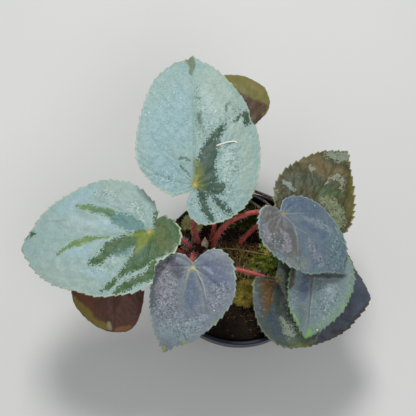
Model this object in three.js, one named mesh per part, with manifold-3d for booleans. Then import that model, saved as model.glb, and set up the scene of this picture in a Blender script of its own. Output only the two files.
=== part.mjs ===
// A potted rhizomatous begonia with silvered, toothed, lopsided heart-shaped leaves on red petioles.
// Millimetres, +Z up. The origin is the centre of the pot's flat base, and -Y is the front.
import * as THREE from "three";
import { mergeVertices } from "three/addons/utils/BufferGeometryUtils.js";
import Module from "manifold-3d";

const wasm = await Module();
wasm.setup();

// Driving dimensions
const GAP = 0.3;
const WELD = 1e-4;

const POT = {
  height: 68,
  rimRadius: 50,
  rimBand: 15,
  rimFlare: 1.4,
  bodyTopRadius: 46,
  baseRadius: 33,
  wall: 1.5,
  lip: 2.4,
  floor: 2,
  edge: 0.6,
  sides: 40,
  drainRadius: 3.5,
  drainCircle: 22,
  drainCount: 6,
};

const SOIL = {
  edgeHeight: 60, moundRise: 12, moundAt: [-8, 10], moundSpread: 24, clearance: 0.5, rings: 6, sides: 28,
  clods: 0.8, clodSize: 4.1, ridges: 0.5, ridgeSize: 5.1,
};

// rings are shares of the way from the petiole to the margin, and ribSteps count margin steps from the tip.
const BLADE = {
  thickness: 0.8,
  ribDepth: 0.7,
  grooveDepth: 0.35,
  toothDepth: 0.75,
  toothFade: 12,
  halfSteps: 36,
  rings: [0.22, 0.48, 0.75],
  ribSteps: [0, 8, 16, 24, 30],
  bellyShare: 0.25,
  keelSoftness: 3,
  nodStart: 0.7,
};

const PETIOLE = { sides: 8, steps: 12, tipShare: 0.82, topRise: 0.5, trimHeight: 6 };

// Each leaf: where the petiole meets the blade, and which way the midrib points (heading from the back and
// clockwise from above, pitch and roll, in degrees). left and right are the outline of each half from the tip
// to the notch, in mm across and along the midrib. cup, fold, tipDrop and wave bend the blade. petiole lists
// the points that the petiole passes on its way up.
const LEAVES = [
  {
    name: "back", attach: [-27, 34, 116], heading: -1, pitch: 4, roll: 4,
    length: 88, halfWidth: 38, cup: 5, fold: 7, tipDrop: 2, wave: 1.9,
    waves: 5, phase: 0.4, notch: [-1.6, -3],
    left: [[-4, 84.5], [-12, 80], [-22, 70], [-29, 55], [-34, 33], [-34, 15], [-26, 2], [-14, -6], [-6.5, -5]],
    right: [
      [4, 84.5], [11, 80.5], [22, 70], [32, 55], [36, 40], [39, 24], [38, 8], [32, -9], [20, -20], [6, -24],
      [-2, -17], [-1.8, -10],
    ],
    petiole: [[-24.8, 10.6, 75.5], [-28.2, 17, 95], [-27.8, 25, 108]], petioleRadius: 1.55,
  },
  {
    name: "left", attach: [-54, 9, 104], heading: -95, pitch: -3, roll: 6,
    length: 77, halfWidth: 38, cup: 4.5, fold: 7, tipDrop: 3, wave: 2.1,
    waves: 5, phase: 1.9, notch: [2, -2],
    left: [
      [-6, 72], [-16, 65.5], [-26, 56], [-33.5, 41], [-37.5, 24], [-37, 8], [-30, -4], [-16, -13],
      [-5, -18.5], [3, -15.5], [4.4, -10],
    ],
    right: [[5, 73], [17, 65], [27, 52], [34, 38], [37, 23], [33, 9], [24, -1], [14, -5], [8.5, -4]],
    petiole: [[-28.6, 8, 75], [-35, 8.5, 91], [-44.5, 8.5, 99.5]], petioleRadius: 1.5,
  },
  {
    name: "front", attach: [-28, -12, 101], heading: -159, pitch: -19, roll: 0,
    length: 53, halfWidth: 25, cup: 4, fold: 9, tipDrop: 2, wave: 1.6,
    waves: 4, phase: 0.2, notch: [1.2, -2.6],
    left: [[-5, 47], [-14, 40], [-23, 26], [-28, 11], [-26, -1], [-19, -12], [-10, -15], [-3.5, -11]],
    right: [[4, 48], [11, 39], [17, 27], [20.5, 14], [20, 4], [14, -3], [8, -5.5]],
    petiole: [[-25.6, 4.8, 75.5], [-28, 0.5, 87], [-29, -5, 95]], petioleRadius: 1.45,
  },
  {
    name: "right", attach: [24, 17, 113], heading: 131, pitch: -13, roll: -6,
    length: 50, halfWidth: 22, cup: 5, fold: 4, tipDrop: 2, wave: 1.6,
    waves: 4, phase: 2.4, notch: [-0.8, -2.4],
    left: [[-5, 46], [-13, 42], [-19, 32], [-23, 17], [-20, 5], [-14, -2], [-7.5, -5]],
    right: [[3, 46], [8, 41], [15, 35], [19, 26], [21.5, 13], [20.5, 2], [15, -6], [7, -11], [2, -9.5]],
    petiole: [[-16.4, 8.4, 75], [-14.2, 12, 88], [-6.5, 17, 99.5], [8, 19.5, 109]], petioleRadius: 1.65,
  },
  {
    name: "back_right", attach: [38, 23, 92], heading: 34, pitch: 0, roll: 0,
    length: 56, halfWidth: 26, cup: 3.5, fold: 6, tipDrop: 2.5, wave: 2.2,
    waves: 5, phase: 0.9, notch: [1, -2.5],
    left: [[-7, 51], [-14, 45.5], [-20, 36], [-25, 24], [-26, 12], [-21, 1], [-14, -6], [-7, -8]],
    right: [[4, 50], [9, 43], [17, 33], [24, 21], [27, 10], [24, 1], [17, -5.5], [10, -7]],
    petiole: [[-2, 10.8, 70.5], [4.9, 17, 77.5], [14, 22.5, 83], [27, 24, 88.5]], petioleRadius: 1.6,
  },
  {
    name: "front_right", attach: [22, -15, 84], heading: 151, pitch: -12, roll: 0,
    length: 44, halfWidth: 22, cup: 3.5, fold: 8, tipDrop: 2, wave: 1.3,
    waves: 4, phase: 1.2, notch: [0, -2.5],
    left: [[-8, 39], [-15, 32], [-20, 24], [-22, 13], [-20, 1], [-15, -7], [-9, -10]],
    right: [[4, 42], [14, 37], [20, 29], [22, 20], [20.5, 9], [16, -1], [10, -8]],
    petiole: [[-20.5, 4.2, 75], [-18.5, -0.5, 79], [-4.3, -6.1, 82], [10, -10.5, 83.5]], petioleRadius: 1.4,
  },
  {
    name: "young", attach: [44, -5.5, 94], heading: -172, pitch: -13, roll: 0,
    length: 46, halfWidth: 20, cup: 3, fold: 11, tipDrop: 1.5, wave: 1.3,
    waves: 4, phase: 2.9, notch: [0, -2.5],
    left: [[-7, 41], [-14, 34], [-20, 26], [-24, 13], [-23.5, 4], [-19, -5.5], [-12, -10]],
    right: [[4, 41], [8, 35.5], [12, 28], [14, 17], [13.5, 7], [9.5, -2], [5.5, -5.5]],
    petiole: [[25.5, 8.3, 66.5], [29, 5.5, 78], [36.5, 0, 89]], petioleRadius: 1.4,
  },
  {
    name: "low_right", attach: [40, -16, 74.5], heading: 96, pitch: -9, roll: 6,
    length: 43, halfWidth: 30, cup: 3, fold: 5, tipDrop: 2, wave: 1.6,
    waves: 4, phase: 0.6, notch: [0, -2],
    left: [[-8, 38], [-16, 31], [-25, 25], [-28.5, 15], [-25, 4], [-18, -2.5], [-11, -4.5]],
    right: [[6, 40], [15, 33.5], [24, 26], [31, 15], [34.5, 4], [30, -7], [21, -11], [10, -8]],
    petiole: [[20.5, 5.8, 66.5], [21.8, -3, 70.5], [31, -12, 72.5]], petioleRadius: 1.4,
  },
  {
    name: "low_back", attach: [-17, 71, 92], heading: 38, pitch: 0, roll: 4,
    length: 57, halfWidth: 26, cup: 4, fold: 4, tipDrop: 2, wave: 1.6,
    waves: 4, phase: 1.6, notch: [0.5, -2.4],
    left: [[-8, 56.5], [-17, 54.5], [-26, 48], [-32, 36], [-30, 21], [-22, 7], [-13, 0], [-6, -3]],
    right: [[7, 51], [11, 42], [13, 33], [16, 20], [16, 8], [12, -2], [6, -6]],
    petiole: [[-18, 12.2, 74.5], [-15.5, 19, 88], [-15.5, 32, 95], [-19, 52, 94.5], [-19.5, 64, 90.2]],
    petioleRadius: 1.5,
  },
  {
    name: "low_left", attach: [-78, 3, 82], heading: 178, pitch: -15, roll: 0,
    length: 47.5, halfWidth: 22, cup: 5, fold: 4, tipDrop: 2, wave: 1.6,
    waves: 4, phase: 2.2, notch: [0, -2],
    left: [[-6, 47.5], [-11, 45.5], [-15, 40], [-18, 30], [-19, 18], [-16, 7], [-10, -1], [-5, -4]],
    right: [[5, 46.5], [12, 42], [18.5, 35], [23, 27], [24, 15], [21.5, 5], [15, -2], [7, -4.5]],
    petiole: [[-30.3, 4.6, 72.5], [-44, 8, 80.5], [-63, 12, 81.5], [-74, 8.5, 79]], petioleRadius: 1.45,
  },
];

// The creeping rhizome runs from its old end, under the right-hand leaves, to the growing crown.
const RHIZOME = {
  path: [[31, 6, 65.5], [16, 9.5, 67.5], [2, 10.5, 70.5], [-12, 10, 73], [-31, 7.5, 75]],
  radius: 4.2, crownRadius: 5.6, swelling: 0.5, joints: 9, endFace: 0.08, endPower: 16, sides: 10, steps: 24,
};

// Papery bracts at the crown: foot on the rhizome, lean direction in degrees, length and width.
const STIPULE = { thickness: 1, footShare: 1.15, taper: 0.75, curl: 1.2, rooted: 1.5 };
const STIPULES = [
  { name: "pale", foot: [-21.4, 8.5, 78.3], heading: 5, lean: 25, length: 9, width: 4.2, tint: 0xd9c6a6 },
  { name: "left", foot: [-31.5, 7.5, 76], heading: -100, lean: 35, length: 8, width: 4, tint: 0x9a6a4c },
  { name: "front", foot: [-22.8, 3.2, 76.5], heading: 170, lean: 35, length: 8, width: 4.2, tint: 0xb58a68 },
  { name: "back", foot: [-27.5, 11.8, 76.5], heading: -20, lean: 28, length: 8, width: 4, tint: 0x8c5a40 },
];

// Cushions of live and golden moss pressed into the soil: centre, half sizes and a bump phase.
const MOSS = { lobes: 3, lobeRise: 0.09, pits: 5, pitRise: 0.07 };
const MOSSES = [
  { name: "green", at: [18, 2, 67], size: [11.5, 12, 7.5], phase: 0.3, tint: 0x4c6a1e },
  { name: "gold", at: [4, -17, 65], size: [8, 8, 6], phase: 1.4, tint: 0x8a7a35 },
  { name: "left", at: [-29.5, 25.5, 67.5], size: [6.2, 5.6, 10.5], phase: 2.2, tint: 0xa9a860 },
  { name: "back", at: [2, 31, 66], size: [12, 7.5, 6], phase: 3.1, tint: 0x3f4422 },
];

// Old bare stalks that stand in the soil and lie over the back of the rim.
const STALK_TAPER = 0.25;
const STALKS = [
  {
    name: "grey", radius: 1.25, tint: 0x5b5350,
    path: [[35, 19, 62], [31.5, 33, 68.8], [23.5, 43, 70.8], [9, 50, 71]],
  },
  {
    name: "tan", radius: 0.9, tint: 0xa98a78,
    path: [[27, 27, 62.5], [24, 35.5, 67.5], [17.5, 42, 70.3], [9.5, 46.5, 71]],
  },
  {
    name: "olive", radius: 1.1, tint: 0x7f7c4e,
    path: [[21, 24, 63], [17.5, 32, 71], [13, 36.5, 74.5], [2, 43, 77.5]],
  },
];

// One thin dry runner that lies along the rhizome.
const RUNNER = {
  radius: 0.5, sides: 6, steps: 20, tint: 0x8f7550,
  path: [
    [-23.4, 1.6, 80.4], [-21, 5.6, 81.5], [-16.5, 5.7, 80.2], [-12, 7.2, 79.2], [-4.3, 7.8, 77.4],
    [4.2, 7.2, 75.6], [9.8, 6.2, 75], [17, 4.6, 75.2],
  ],
};

// A pleated dry leaf that lies on the soil beside the crown and reaches over the rim.
const DRY_LEAF = {
  at: [-31.5, 17, 68.4], heading: -55, pitch: 6, length: 14, foot: 2, flare: 5.5, pleat: 0.9, pleatTurn: 1.15,
  thickness: 0.8, tint: 0x5a4034,
};

// A seedling's first round leaf, on a short stem in the green moss.
const SEEDLING = {
  at: [24.6, -1, 77], radius: 3.6, thickness: 0.5, tilt: 18, stemRadius: 0.5, stemDepth: 7, tint: 0x2f4424,
};

// Making solids and cutting them
function solidFrom(geometry) {
  const bare = geometry.clone();
  bare.deleteAttribute("normal");
  bare.deleteAttribute("uv");
  const merged = mergeVertices(bare, WELD);
  return new wasm.Manifold(
    new wasm.Mesh({
      numProp: 3,
      vertProperties: new Float32Array(merged.attributes.position.array),
      triVerts: new Uint32Array(merged.index.array),
    }),
  );
}

// The largest body of a solid: what a cut leaves loose is dropped.
function geometryFrom(solid) {
  const largest = solid.decompose().reduce((a, b) => (a.volume() > b.volume() ? a : b));
  const mesh = largest.getMesh();
  return new THREE.BufferGeometry()
    .setAttribute("position", new THREE.BufferAttribute(new Float32Array(mesh.vertProperties), 3))
    .setIndex(new THREE.BufferAttribute(new Uint32Array(mesh.triVerts), 1));
}

function geometryOf(points, index) {
  const values = new Float32Array(points.flatMap((point) => point.toArray()));
  const position = new THREE.BufferAttribute(values, 3);
  return new THREE.BufferGeometry().setAttribute("position", position).setIndex(index);
}

const subtractAll = (solid, cutters) => cutters.reduce((left, cutter) => left.subtract(cutter), solid);

const degrees = THREE.MathUtils.degToRad;
const toVectors = (points) => points.map((p) => new THREE.Vector3(...p));

// A closed tube along a smooth path is a capped cylinder bent to follow it. radiusAt takes the share of the
// path that is behind the point.
function tubeGeometry(path, radiusAt, sides, steps) {
  const curve = new THREE.CatmullRomCurve3(toVectors(path), false, "centripetal");
  const geometry = new THREE.CylinderGeometry(1, 1, 1, sides, steps);
  const position = geometry.getAttribute("position");
  const frames = curve.computeFrenetFrames(steps);
  for (let i = 0; i < position.count; i++) {
    const step = Math.round((position.getY(i) + 0.5) * steps);
    const share = step / steps;
    const centre = curve.getPointAt(share);
    const radius = radiusAt(share);
    centre
      .addScaledVector(frames.normals[step], position.getX(i) * radius)
      .addScaledVector(frames.binormals[step], -position.getZ(i) * radius);
    position.setXYZ(i, centre.x, centre.y, centre.z);
  }
  return geometry;
}

// Blades
function bladeFrame({ attach, heading, pitch, roll = 0 }) {
  const h = degrees(heading);
  const p = degrees(pitch);
  const along = new THREE.Vector3(Math.sin(h) * Math.cos(p), Math.cos(h) * Math.cos(p), Math.sin(p));
  const across = new THREE.Vector3().crossVectors(along, new THREE.Vector3(0, 0, 1)).normalize();
  across.applyAxisAngle(along, degrees(roll));
  const normal = new THREE.Vector3().crossVectors(across, along);
  return { origin: new THREE.Vector3(...attach), along, across, normal };
}

// How far the blade's top stands off its flat plane, at x across and y along the midrib.
function bladeHeight(leaf, x, y) {
  const { bellyShare, keelSoftness, nodStart } = BLADE;
  const bellyAt = bellyShare * leaf.length;
  const reach = leaf.length - bellyAt;
  const round = (x / leaf.halfWidth) ** 2 + ((y - bellyAt) / reach) ** 2 - (bellyAt / reach) ** 2;
  const keel = Math.tan(degrees(leaf.fold)) * (Math.hypot(x, keelSoftness) - keelSoftness);
  const nod = leaf.tipDrop * Math.max(0, (y / leaf.length - nodStart) / (1 - nodStart)) ** 2;
  const out = (x * x + y * y) / leaf.length ** 2;
  const ripple = leaf.wave * out * Math.sin(leaf.waves * Math.atan2(x, y) + leaf.phase);
  return keel - leaf.cup * round - nod + ripple;
}

function sideOutline(leaf, side) {
  const points = [[0, leaf.length], ...leaf[side], leaf.notch].map((p) => new THREE.Vector2(...p));
  return new THREE.SplineCurve(points).getSpacedPoints(BLADE.halfSteps);
}

// The margin is one loop from the tip down the left half to the notch and back up the right half.
function bladeMargin(leaf) {
  const left = sideOutline(leaf, "left");
  const right = sideOutline(leaf, "right").reverse();
  return [...left, ...right.slice(1, -1)];
}

function toothed(margin, depth) {
  return margin.map((point, i) => {
    const before = margin[(i + margin.length - 1) % margin.length];
    const after = margin[(i + 1) % margin.length];
    const outward = new THREE.Vector2(after.y - before.y, before.x - after.x).normalize().negate();
    const fade = Math.min(1, point.length() / BLADE.toothFade);
    return point.clone().addScaledVector(outward, (i % 2 ? -depth : 0) * fade);
  });
}

// Every stride-th margin point, drawn in towards the petiole by share.
function marginRing(margin, share, stride) {
  return margin
    .map((p, step) => ({ x: p.x * share, y: p.y * share, step, share }))
    .filter((point) => point.step % stride === 0);
}

// The blade's closed shell. lift raises its top and sink lowers its underside.
function bladeGeometry(leaf, { lift = 0, sink = 0 } = {}) {
  const margin = bladeMargin(leaf);
  const count = margin.length;
  const rings = [
    ...BLADE.rings.map((share, i) => marginRing(margin, share, i === 0 ? 4 : 2)),
    marginRing(toothed(margin, BLADE.toothDepth), 1, 1),
  ];
  const { origin, along, across, normal } = bladeFrame(leaf);
  const top = [];
  const bottom = [];
  const place = (x, y, h) =>
    origin.clone().addScaledVector(across, x).addScaledVector(along, y).addScaledVector(normal, h);
  const add = ({ x, y, step, share }) => {
    const fromTip = Math.min(step, count - step);
    const onRib = share < 1 && BLADE.ribSteps.includes(fromTip) ? 1 - share : 0;
    const surface = bladeHeight(leaf, x, y) - (onRib ? BLADE.grooveDepth : 0);
    top.push(place(x, y, surface + lift));
    bottom.push(place(x, y, surface - BLADE.thickness - BLADE.ribDepth * onRib - sink));
  };
  add({ x: 0, y: 0, step: 0, share: 0.5 });
  const starts = [];
  rings.forEach((ring) => {
    starts.push(top.length);
    ring.forEach(add);
  });

  const faces = [];
  const ringAt = (r, k) => starts[r] + (k % rings[r].length);
  for (let k = 0; k < rings[0].length; k++) faces.push([0, ringAt(0, k), ringAt(0, k + 1)]);
  for (let r = 1; r < rings.length; r++) {
    const inner = rings[r - 1].length;
    const ratio = rings[r].length / inner;
    for (let k = 0; k < inner; k++) {
      const [a, b] = [ringAt(r - 1, k), ringAt(r - 1, k + 1)];
      if (ratio === 1) {
        faces.push([a, ringAt(r, k), ringAt(r, k + 1)], [a, ringAt(r, k + 1), b]);
      } else {
        const [c, m, d] = [ringAt(r, 2 * k), ringAt(r, 2 * k + 1), ringAt(r, 2 * k + 2)];
        faces.push([a, c, m], [a, m, b], [b, m, d]);
      }
    }
  }
  const offset = top.length;
  const rim = starts[starts.length - 1];
  const index = [];
  faces.forEach(([a, b, c]) => index.push(a, b, c, offset + a, offset + c, offset + b));
  for (let k = 0; k < count; k++) {
    const [a, b] = [rim + k, rim + ((k + 1) % count)];
    index.push(b, a, offset + a, b, offset + a, offset + b);
  }
  return geometryOf([...top, ...bottom], index);
}

// Petioles, rhizome, stalks
function petiolePath(leaf) {
  const { origin, normal } = bladeFrame(leaf);
  return [...leaf.petiole, origin.clone().addScaledVector(normal, PETIOLE.topRise).toArray()];
}

function petioleTube(leaf, extra = 0) {
  const taper = (share) => leaf.petioleRadius * (1 - (1 - PETIOLE.tipShare) * share) + extra;
  return solidFrom(tubeGeometry(petiolePath(leaf), taper, PETIOLE.sides, PETIOLE.steps));
}

function petioleSolid(leaf) {
  const trimmer = solidFrom(bladeGeometry(leaf, { lift: PETIOLE.trimHeight, sink: GAP }));
  return petioleTube(leaf).subtract(trimmer);
}

function rhizomeTube(extra = 0) {
  const { radius, crownRadius, swelling, joints, endFace, endPower } = RHIZOME;
  const outline = (share) => {
    const thick = radius + (crownRadius - radius) * share ** 3;
    const rounded = Math.sqrt(Math.max(endFace, 1 - (2 * share - 1) ** endPower));
    return (thick + swelling * Math.cos(2 * Math.PI * joints * share)) * rounded + extra;
  };
  return solidFrom(tubeGeometry(RHIZOME.path, outline, RHIZOME.sides, RHIZOME.steps));
}

const stalkTube = (stalk, extra = 0) =>
  solidFrom(tubeGeometry(stalk.path, (share) => stalk.radius * (1 - STALK_TAPER * share) + extra, 6, 10));

const runnerTube = () =>
  solidFrom(tubeGeometry(RUNNER.path, () => RUNNER.radius, RUNNER.sides, RUNNER.steps));

// Stipules, moss and the dry leaf
function stipuleSolid({ foot, heading, lean, length, width }, extra = 0) {
  const { thickness, footShare, taper, curl, rooted } = STIPULE;
  const geometry = new THREE.SphereGeometry(1, 8, 6);
  geometry.scale(width / 2 + extra, thickness / 2 + extra, length / 2 + extra);
  const position = geometry.getAttribute("position");
  for (let i = 0; i < position.count; i++) {
    const up = position.getZ(i) / length + 0.5;
    position.setX(i, position.getX(i) * (footShare - taper * up));
    position.setY(i, position.getY(i) + curl * up * up);
    position.setZ(i, position.getZ(i) + length / 2 - rooted);
  }
  geometry.rotateX(-degrees(lean));
  geometry.rotateZ(-degrees(heading));
  geometry.translate(...foot);
  return solidFrom(geometry);
}

function mossSolid({ at, size, phase }, extra = 0) {
  const { lobes, lobeRise, pits, pitRise } = MOSS;
  const geometry = new THREE.SphereGeometry(1, 14, 9);
  geometry.rotateX(Math.PI / 2);
  const position = geometry.getAttribute("position");
  for (let i = 0; i < position.count; i++) {
    const [x, y, z] = [position.getX(i), position.getY(i), position.getZ(i)];
    const lobe = lobeRise * Math.sin(lobes * Math.atan2(y, x) + phase) * (1 - z * z);
    const pit = pitRise * Math.sin(pits * x + phase) * Math.sin(pits * y);
    const bump = 1 + lobe + pit;
    position.setXYZ(
      i,
      at[0] + x * bump * (size[0] + extra),
      at[1] + y * bump * (size[1] + extra),
      at[2] + z * bump * (size[2] + extra),
    );
  }
  return solidFrom(geometry);
}

function dryLeafSolid(extra = 0) {
  const { at, length, foot, flare, pleat, pleatTurn, thickness } = DRY_LEAF;
  const { origin, along, across, normal } = bladeFrame({ ...DRY_LEAF, attach: at });
  const geometry = new THREE.BoxGeometry(1, 1, 1, 8, 6, 1);
  const position = geometry.getAttribute("position");
  for (let i = 0; i < position.count; i++) {
    const share = position.getY(i) + 0.5;
    const wide = (foot + flare * share) * (1 - 0.45 * share ** 6) + extra;
    const x = 2 * position.getX(i) * wide;
    const y = share * (length + 2 * extra) - extra;
    const h = pleat * Math.cos(x * pleatTurn) * share + position.getZ(i) * (thickness + 2 * extra);
    const p = origin.clone().addScaledVector(across, x).addScaledVector(along, y).addScaledVector(normal, h);
    position.setXYZ(i, p.x, p.y, p.z);
  }
  return solidFrom(geometry);
}

function seedlingSolid(extra = 0) {
  const { at, radius, thickness, tilt, stemRadius, stemDepth } = SEEDLING;
  const disc = new THREE.SphereGeometry(1, 12, 6);
  disc.rotateX(Math.PI / 2);
  disc.scale(radius + extra, radius + extra, thickness + extra);
  disc.rotateY(degrees(tilt));
  disc.translate(...at);
  const stem = new THREE.CylinderGeometry(stemRadius + extra, stemRadius + extra, stemDepth + extra, 6);
  stem.rotateX(Math.PI / 2);
  stem.translate(at[0], at[1], at[2] - stemDepth / 2);
  return solidFrom(disc).add(solidFrom(stem));
}

// Pot and soil
function potSolid() {
  const { height, rimRadius, rimBand, rimFlare, bodyTopRadius, baseRadius, wall, floor, edge, sides } = POT;
  const shoulder = height - rimBand;
  const innerTop = rimRadius - POT.lip;
  const profile = [
    [0, 0],
    [baseRadius - edge, 0],
    [baseRadius, edge],
    [bodyTopRadius, shoulder - 2],
    [bodyTopRadius + 0.4, shoulder],
    [rimRadius - rimFlare, shoulder],
    [rimRadius, height - edge],
    [rimRadius - edge, height],
    [innerTop + edge, height],
    [innerTop, height - edge],
    [innerTop - rimFlare, shoulder + 1],
    [bodyTopRadius - wall, shoulder - 2],
    [baseRadius - wall + 0.3, floor + 1],
    [baseRadius - wall - 1, floor],
    [0, floor],
  ].map((p) => new THREE.Vector2(...p));
  const shell = new THREE.LatheGeometry(profile, sides);
  shell.rotateX(Math.PI / 2);
  const drains = Array.from({ length: POT.drainCount }, (_, i) => {
    const turn = ((i + 0.5) / POT.drainCount) * 2 * Math.PI;
    const hole = new THREE.CylinderGeometry(POT.drainRadius, POT.drainRadius, 4 * floor, 12);
    hole.rotateX(Math.PI / 2);
    hole.translate(Math.cos(turn) * POT.drainCircle, Math.sin(turn) * POT.drainCircle, floor / 2);
    return solidFrom(hole);
  });
  return subtractAll(solidFrom(shell), drains);
}

function soilTop(x, y) {
  const { edgeHeight, moundRise, moundAt, moundSpread, clods, clodSize, ridges, ridgeSize } = SOIL;
  const away = (x - moundAt[0]) ** 2 + (y - moundAt[1]) ** 2;
  const mound = moundRise * Math.exp(-away / (2 * moundSpread ** 2));
  const lumps = clods * Math.sin(x / clodSize + 1.3) * Math.sin(y / clodSize + 0.4);
  return edgeHeight + mound + lumps + ridges * Math.sin((x - y) / ridgeSize);
}

function potInnerRadius(z) {
  const { height, rimBand, rimRadius, rimFlare, bodyTopRadius, baseRadius, wall, floor, lip } = POT;
  const shoulder = height - rimBand;
  const low = baseRadius - wall + 0.3;
  const high = bodyTopRadius - wall;
  if (z <= shoulder - 2) return THREE.MathUtils.mapLinear(z, floor + 1, shoulder - 2, low, high);
  const rimFoot = rimRadius - lip - rimFlare;
  if (z <= shoulder + 1) return THREE.MathUtils.mapLinear(z, shoulder - 2, shoulder + 1, high, rimFoot);
  return rimFoot;
}

function soilSolid() {
  const { rings, sides, clearance } = SOIL;
  const { height, rimBand, floor } = POT;
  const shoulder = height - rimBand;
  const wallHeights = [shoulder + 1, shoulder - 2, floor + 1];
  const points = [new THREE.Vector3(0, 0, soilTop(0, 0))];
  const loops = [];
  const addLoop = (radius, heightAt) => {
    loops.push(points.length);
    for (let k = 0; k < sides; k++) {
      const turn = (k / sides) * 2 * Math.PI;
      const [x, y] = [radius * Math.cos(turn), radius * Math.sin(turn)];
      points.push(new THREE.Vector3(x, y, heightAt(x, y)));
    }
  };
  const topRadius = potInnerRadius(height) - clearance;
  for (let r = 1; r <= rings; r++) addLoop((topRadius * r) / rings, soilTop);
  for (const z of wallHeights) addLoop(potInnerRadius(z) - clearance, () => z);
  addLoop(potInnerRadius(floor + 1) - 2, () => floor + GAP);
  const last = points.length;
  points.push(new THREE.Vector3(0, 0, floor + GAP));
  const index = [];
  for (let k = 0; k < sides; k++) {
    const next = (k + 1) % sides;
    index.push(0, loops[0] + k, loops[0] + next);
    for (let r = 1; r < loops.length; r++) {
      const [a, b, c, d] = [loops[r - 1] + k, loops[r - 1] + next, loops[r] + k, loops[r] + next];
      index.push(a, c, d, a, d, b);
    }
    const end = loops[loops.length - 1];
    index.push(last, end + next, end + k);
  }
  return solidFrom(geometryOf(points, index));
}

// The plant in its pot
const material = (color, roughness = 0.6, metalness = 0) =>
  new THREE.MeshStandardMaterial({ color, roughness, metalness, side: THREE.DoubleSide });

const LOOKS = {
  pot: material(0x22212b, 0.35),
  soil: material(0x1f160d, 0.95),
  rhizome: material(0x6b3526, 0.7),
  petiole: material(0x963c2d, 0.5),
  silver: material(0x93b0ab, 0.4, 0.15),
  violet: material(0x6e7a86, 0.4, 0.15),
  olive: material(0x6f7550, 0.45, 0.05),
  russet: material(0x5a3a30, 0.5),
};
const BLADE_LOOKS = {
  back: LOOKS.silver, left: LOOKS.silver, front: LOOKS.violet, right: LOOKS.violet, back_right: LOOKS.olive,
  front_right: LOOKS.violet, young: LOOKS.violet, low_right: LOOKS.violet, low_back: LOOKS.russet,
  low_left: LOOKS.russet,
};

const plant = new THREE.Group();
function addPart(name, solid, look) {
  const mesh = new THREE.Mesh(geometryFrom(solid), look);
  mesh.name = name;
  plant.add(mesh);
}

const petioleHoles = LEAVES.map((leaf) => petioleTube(leaf, GAP));
const stalkHoles = STALKS.map((stalk) => stalkTube(stalk, GAP));
const stipuleHoles = STIPULES.map((stipule) => stipuleSolid(stipule, GAP));
const mossHoles = MOSSES.map((moss) => mossSolid(moss, GAP));
const rhizomeHole = rhizomeTube(GAP);
const seedlingHole = seedlingSolid(GAP);
const stemHoles = [...petioleHoles, ...stalkHoles];

addPart("pot", potSolid(), LOOKS.pot);
addPart(
  "soil",
  subtractAll(soilSolid(), [rhizomeHole, ...stemHoles, ...stipuleHoles, ...mossHoles, dryLeafSolid(GAP)]),
  LOOKS.soil,
);
addPart("rhizome", subtractAll(rhizomeTube(), [...stemHoles, ...stipuleHoles]), LOOKS.rhizome);

LEAVES.forEach((leaf) => {
  addPart(`blade_${leaf.name}`, solidFrom(bladeGeometry(leaf)), BLADE_LOOKS[leaf.name]);
  addPart(`petiole_${leaf.name}`, petioleSolid(leaf), LOOKS.petiole);
});

STIPULES.forEach((stipule) => {
  const bract = subtractAll(stipuleSolid(stipule), stemHoles);
  addPart(`stipule_${stipule.name}`, bract, material(stipule.tint, 0.8));
});

MOSSES.forEach((moss) => {
  const cushion = subtractAll(mossSolid(moss), [rhizomeHole, seedlingHole, ...stemHoles]);
  addPart(`moss_${moss.name}`, cushion, material(moss.tint, 0.95));
});

STALKS.forEach((stalk) => {
  addPart(`dry_stalk_${stalk.name}`, stalkTube(stalk), material(stalk.tint, 0.8));
});
addPart("dry_runner", runnerTube(), material(RUNNER.tint, 0.8));
const dryLeaf = subtractAll(dryLeafSolid(), [...mossHoles, ...stemHoles]);
addPart("dry_leaf", dryLeaf, material(DRY_LEAF.tint, 0.9));
addPart("seedling", seedlingSolid(), material(SEEDLING.tint, 0.5));

export default plant;
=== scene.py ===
"""A potted begonia: ten toothed silver leaves on hairy red petioles, above mossy soil in a thin plastic pot."""

import math

import bpy
import numpy as np
from mathutils import Matrix, Vector


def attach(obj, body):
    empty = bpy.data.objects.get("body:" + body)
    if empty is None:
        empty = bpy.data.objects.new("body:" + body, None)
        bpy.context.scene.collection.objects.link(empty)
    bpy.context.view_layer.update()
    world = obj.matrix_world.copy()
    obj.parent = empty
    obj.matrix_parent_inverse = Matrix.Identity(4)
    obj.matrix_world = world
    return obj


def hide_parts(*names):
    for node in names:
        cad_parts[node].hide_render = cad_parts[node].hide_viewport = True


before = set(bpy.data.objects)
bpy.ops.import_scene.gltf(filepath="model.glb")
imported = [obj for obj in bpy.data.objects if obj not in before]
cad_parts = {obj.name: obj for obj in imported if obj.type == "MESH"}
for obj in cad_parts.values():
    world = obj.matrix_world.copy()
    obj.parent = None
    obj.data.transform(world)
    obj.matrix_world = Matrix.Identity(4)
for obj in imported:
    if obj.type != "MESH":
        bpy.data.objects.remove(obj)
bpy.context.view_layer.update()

# Every size below is in millimetres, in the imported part's own frame.
MM = 0.001
TURN = 2 * math.pi

# Sizes of the pot and its soil
POT = {
    "base_radius": 33, "body_radius": 46, "rim_radius": 50, "height": 68, "neck": 51, "band_foot": 53, "flare": 1.4,
    "lip": 2.4, "lip_edge": 0.6, "floor": 2, "edge": 0.6, "sides": 128, "smooth_angle": 28,
    "holes": 6, "hole_radius": 3.5, "hole_circle": 22, "hole_sides": 32, "drill": 8,
}
SOIL = {
    "edge_height": 60, "rise": 12, "at": (-8, 10), "spread": 24, "top_radius": 45.7, "bottom": 2.3,
    "foot_radius": 30.2, "foot_height": 4, "columns": 220, "rows": 84, "crumbs": 1100, "crumbs_reach": 44.2,
}
# Heights in the pot and the soil's radius there
SOIL_WALL = ((4, 31.2), (50, 43.6), (54, 45.2), (70, 45.7))
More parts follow.
